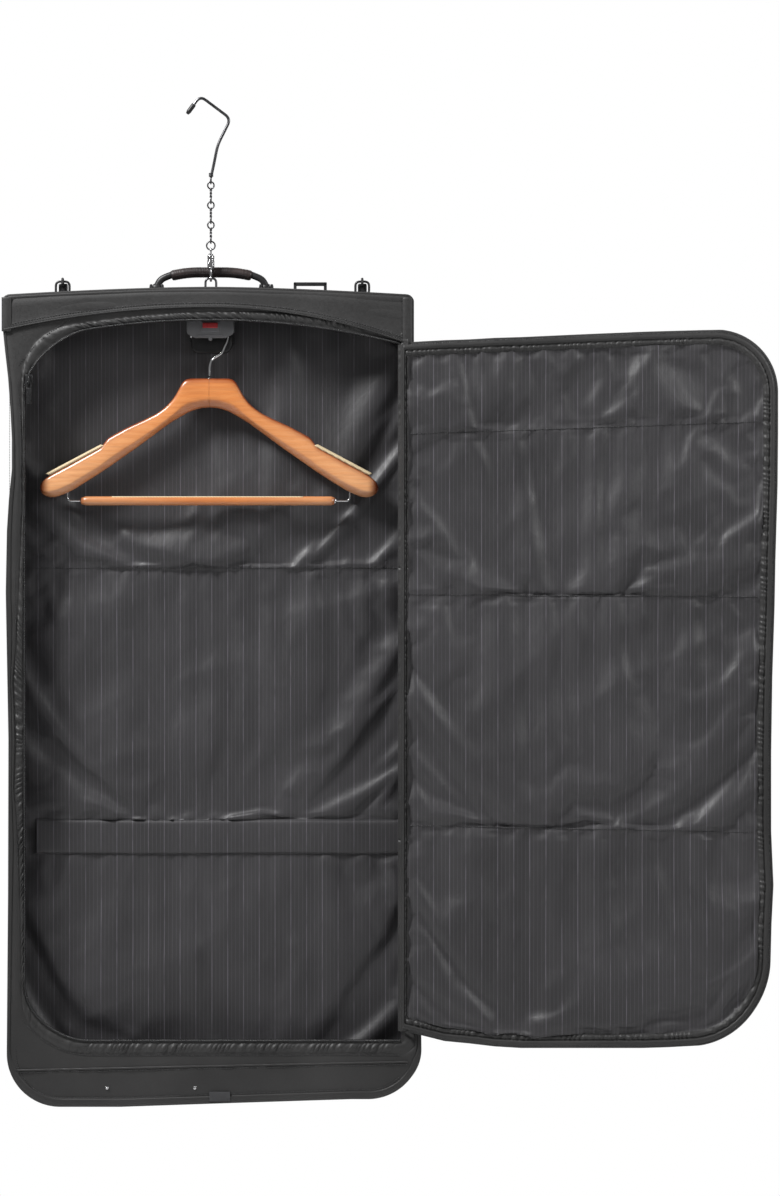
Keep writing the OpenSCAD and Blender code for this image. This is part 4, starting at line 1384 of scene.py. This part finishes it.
def trouser_bar(x_centre, y):
    lo, hi = low("trouser_bar"), high("trouser_bar")
    z, half = (lo.z + hi.z) / 2, (hi.z - lo.z) / 2
    stations = 60
    t = np.linspace(0, 1, stations)
    ends = np.clip(np.minimum(t, 1 - t) / 0.018, 0, 1) ** 0.4
    path = [(x, y, z) for x in np.linspace(lo.x, hi.x, stations)]
    bar = tube("wood_bar", path, half / MM * (0.72 + 0.28 * ends), 20)
    # painted shade: the whole bar a little darker, and darker still at its rounded ends
    painted_shade(bar, np.repeat(0.25 + 0.6 * np.exp(-np.minimum(t, 1 - t) / 0.012), 20))
    place(bar, "hanger_wood", "bar", "trouser_bar")
    path = [(x, y - 1.5 * MM, z + half * 0.80) for x in np.linspace(lo.x + 40 * MM, hi.x - 42 * MM, 50)]
    place(tube("bar_grip", path, 2.4, 10, flat=(Z, 0.5)), "inlay", "bar")
    x = x_centre + 184 * MM
    bent = smooth_path([(x, y, -276 * MM), (x, y, z), (hi.x - 2 * MM, y, z)], 5, 1)
    ferrule = [(3, -3), (4.6, -2.4), (4.6, 1), (2.4, 1.6)]
    wire = joined("pivot_wire", [
        tube("wire", bent, 1.4, 12),
        lathe("ferrule", ferrule, (hi.x, y, z), axis="X"),
    ])
    place(wire, "bright_steel", "bar", "trouser_bar_wire")
    x = x_centre - 186 * MM
    bent = smooth_path([(x, y, -274 * MM), (x, y, z), (lo.x - 1.2 * MM, y, z)], 5, 1)
    place(tube("catch_wire", bent, 1.4, 12), "bright_steel", "hanger", "hanger_catch")


# ---------------------------------------------------------------- small parts


def zip_parts():
    back = Vector((centre("zip_slider").x, high("zip_slider").y, centre("zip_slider").z))
    bridge = [back + mm(0, y, z) for y, z in ((-2, 5), (-6.4, 4), (-6.4, -5), (-2, -5.6))]
    place(joined("slider_body", [
        block("plate", back + mm(-5, -3, -6), back + mm(5, 0, 7), 1.2),
        tube("bridge", smooth_path(bridge, 3, 0.7), 1.1, 8),
    ]), "zip_plastic", "slider", "zip_slider")
    pin = pivot("zip_pull_swing")
    loop = [pin + mm(x, 0, z) for x, z in ((-2.6, -10), (-2.6, 0), (2.6, 0), (2.6, -10))]
    place(joined("pull_tab", [
        block("tab", pin + mm(-3.4, -1.1, -29), pin + mm(3.4, 1.1, -8), 1.0),
        tube("loop", smooth_path(loop, 2.4, 0.8), 0.9, 8),
        block("rib", pin + mm(-2, -1.5, -26), pin + mm(2, 1.5, -13), 0.5),
    ]), "zip_plastic", "pull", "zip_pull")


def bottom_details():
    lo, hi = low("bottom_label") + mm(0, -2.6, 3.5), high("bottom_label") + mm(0, 0, 2)
    label = block("blank_label", lo, hi, 0.4)
    place(label, "label", "lower", "bottom_label")
    lo, hi = low("bottom_snaps"), high("bottom_snaps")
    y, z = FRONT - 1.6 * MM, (lo.z + hi.z) / 2
    profile = [(2.4, 0), (2.4, -0.6), (1.7, -1.4), (0.9, -1.7), (0.2, -1.8)]
    studs = [lathe("stud", profile, (x, y, z), axis="Y") for x in (lo.x + 4 * MM, hi.x - 4 * MM)]
    place(joined("snap_buttons", studs), "bright_steel", "lower", "bottom_snaps")


def strap():
    """Shoulder strap behind the upper section: folded webbing, slider and two snaps."""
    ring_x = centre("d_rings").x + (high("d_rings").x - low("d_rings").x) / 2 - 10.5 * MM
    lo, hi = low("strap_webbing"), high("strap_webbing")
    width, right_x = 38 * MM, 129 * MM
    half = width / 2
    legs = [
        ((-ring_x, hi.z), (-ring_x, lo.z + half)),
        ((-ring_x - half, lo.z + half), (right_x + half, lo.z + half)),
        ((right_x, lo.z + half), (right_x, hi.z)),
        ((right_x - half, hi.z - half), (ring_x + half, hi.z - half)),
    ]
    parts = []
    for index, (a, b) in enumerate(legs):
        a, b = np.array(a), np.array(b)
        length = np.linalg.norm(b - a)
        count = int(length / (4 * MM)) + 2
        side = np.array([-(b - a)[1], (b - a)[0]]) / length
        points = []
        for i in range(count):
            middle = a + (b - a) * i / (count - 1)
            bulge = 0.4 * MM * ripple(np.array([i * 4 * MM]), 70 * MM, index)[0]
            for k in range(9):
                x, z = middle + side * width * (k / 8 - 0.5)
                points.append((x, lo.y + (1.0 + (index % 2) * 1.3) * MM + bulge, z))
        ribbon = add_mesh("leg", points, grid_faces(count, 9))
        thicken(ribbon, 1.2 * MM, 0)
        parts.append(with_modifiers_applied(ribbon))
    place(joined("strap_ribbon", parts), "webbing", "strap", "strap_webbing")
    strap_hardware(ring_x)


def with_modifiers_applied(obj):
    mesh = bpy.data.meshes.new_from_object(obj.evaluated_get(bpy.context.evaluated_depsgraph_get()))
    obj.modifiers.clear()
    obj.data = mesh
    return obj


D_RING = ((-9, -13), (-9, 1), (9, 1), (9, -13), (5, -17), (-5, -17), (-9, -13))


def strap_hardware(ring_x):
    rings, snaps, tabs = [], [], []
    for side in (-1, 1):
        ring, web, wall = (
            Vector((side * ring_x, y, 0)) for y in (centre("d_rings").y, low("strap_webbing").y, BACK))
        rings.append(tube("ring", smooth_path([ring + mm(x, 0, z) for x, z in D_RING], 6, 1.2), 1.6, 12))
        tabs.append(block("tab", wall + mm(-9, -1, -45), wall + mm(9, 7.5, -13.5), 1.6))
        bow = [web + mm(0, 1, -6), web + mm(0, -1.5, 4)]
        bow += [ring + mm(0, y, z) for y, z in ((-3, 5), (-3.6, -3), (1.5, -4.6))]
        snaps += [
            tube("bow", smooth_path(bow, 4, 0.8), 1.7, 10),
            block("barrel", web + mm(-6, -0.4, -34), web + mm(6, 5.5, -1), 2.2),
            block("loop", web + mm(-21, -0.8, -37), web + mm(21, 4, -32), 1.6),
        ]
    place(joined("strap_rings", rings), "black_plastic", "upper", "d_rings")
    place(joined("ring_tabs", tabs), "webbing", "upper", "strap_tabs")
    place(joined("snap_hooks", snaps), "black_plastic", "strap", "strap_snaps")
    lo, hi = low("strap_adjuster") + mm(0, -0.5, 8), high("strap_adjuster") + mm(0, 0, 8)
    bars = [block("side", (x, lo.y, lo.z), (x + 4 * MM, hi.y, hi.z), 1.2) for x in (lo.x, hi.x - 4 * MM)]
    for z in (lo.z, lo.z + 20 * MM, hi.z - 5 * MM):
        bars.append(block("bar", (lo.x, lo.y, z), (hi.x, hi.y, z + 5 * MM), 1.2))
    place(joined("strap_slider", bars), "black_plastic", "strap", "strap_adjuster")


def inner_steel():
    for name, slot_name in (("frame_bar", "frame_steel"), ("clamp_rod", "bright_steel")):
        materials = frame["nodes"][name].data.materials
        materials.clear()
        materials.append(LOOKS[slot_name])


def replace_plain_fabric():
    """The plain fabric solids are stood for by the sewn pieces."""
    walls = [
        part + "_" + section
        for section in ("upper", "middle")
        for part in ("back_panel", "side_gussets", "front_rim")
    ]
    stands_for = {
        "shell_top": ("header_top", *walls),
        "shell_bottom": ("back_panel_lower", "gusset_lower", "front_rim_lower"),
        "lining_top": ("lining_upper", "lining_middle"),
        "lining_bottom": ("lining_lower",),
        "zip_coil_top": ("zip_coil_upper", "zip_coil_middle"),
        "zip_coil_bottom": ("zip_coil_lower",),
        "fold_band": ("fold_band_top", "fold_band_bottom"),
    }
    for section in ("upper", "middle", "lower"):
        stands_for["lid_shell_" + section] = ("lid_panel_" + section,)
        stands_for["lid_satin_" + section] = ("lid_lining_" + section,)
    for piece, nodes in stands_for.items():
        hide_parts(*nodes)


# ---------------------------------------------------------------- studio


def studio():
    scene = bpy.context.scene
    distance, span = 4.0, 1.555
    camera_data = bpy.data.cameras.new("camera")
    camera_data.sensor_width = 36
    camera_data.lens = 36 * distance / span
    camera = add_object("camera", camera_data)
    camera.location = (0.2347, FRONT - distance, -0.4173)
    camera.rotation_euler = (radians(90), 0, 0)
    scene.camera = camera
    for name, spot, aim, size, power in (
        ("key", (-1.5, -1.25, 1.75), (0.2, 0, -0.45), 0.7, 104),
        ("side", (2.4, -1.5, 0.7), (0.2, 0, -0.5), 0.8, 27),
        ("back", (0.3, 2.6, 1.4), (0.2, 0, -0.5), 1.8, 34),
    ):
        data = bpy.data.lights.new(name, "AREA")
        data.size, data.energy = size, power
        light = add_object(name, data)
        light.location = spot
        light.rotation_euler = (Vector(aim) - Vector(spot)).to_track_quat("-Z", "Y").to_euler()
    world = bpy.data.worlds.new("studio")
    world.use_nodes = True
    nodes, links = world.node_tree.nodes, world.node_tree.links
    seen, lit = nodes["Background"], nodes.new("ShaderNodeBackground")
    for background, strength in ((seen, 1.0), (lit, 0.21)):
        background.inputs["Color"].default_value = (1, 1, 1, 1)
        background.inputs["Strength"].default_value = strength
    ray, mixed = nodes.new("ShaderNodeLightPath"), nodes.new("ShaderNodeMixShader")
    links.new(ray.outputs["Is Camera Ray"], mixed.inputs[0])
    links.new(lit.outputs[0], mixed.inputs[1])
    links.new(seen.outputs[0], mixed.inputs[2])
    links.new(mixed.outputs[0], nodes["World Output"].inputs["Surface"])
    scene.world = world
    scene.view_settings.view_transform = "Standard"
    corners = [(-2, -2.4, -1.65), (2.4, -2.4, -1.65), (2.4, 1.3, -1.65), (-2, 1.3, -1.65)]
    floor = add_mesh("floor", corners, [(0, 1, 2, 3)])
    pale = Look("floor")
    pale.colour(pale.mix(pale.noise(2, 2), (0.80, 0.80, 0.80), (0.86, 0.86, 0.86)))
    floor.data.materials.append(pale.material)


studio()
shell()
trim_of_shell()
lining()
lid_lining()
lid_shell()
lid_trim()
outside_pockets()
lid_hinge_strip()
handle()
chain()
hook()
snap()
clamp()
hanger()
zip_parts()
bottom_details()
strap()
inner_steel()
replace_plain_fabric()
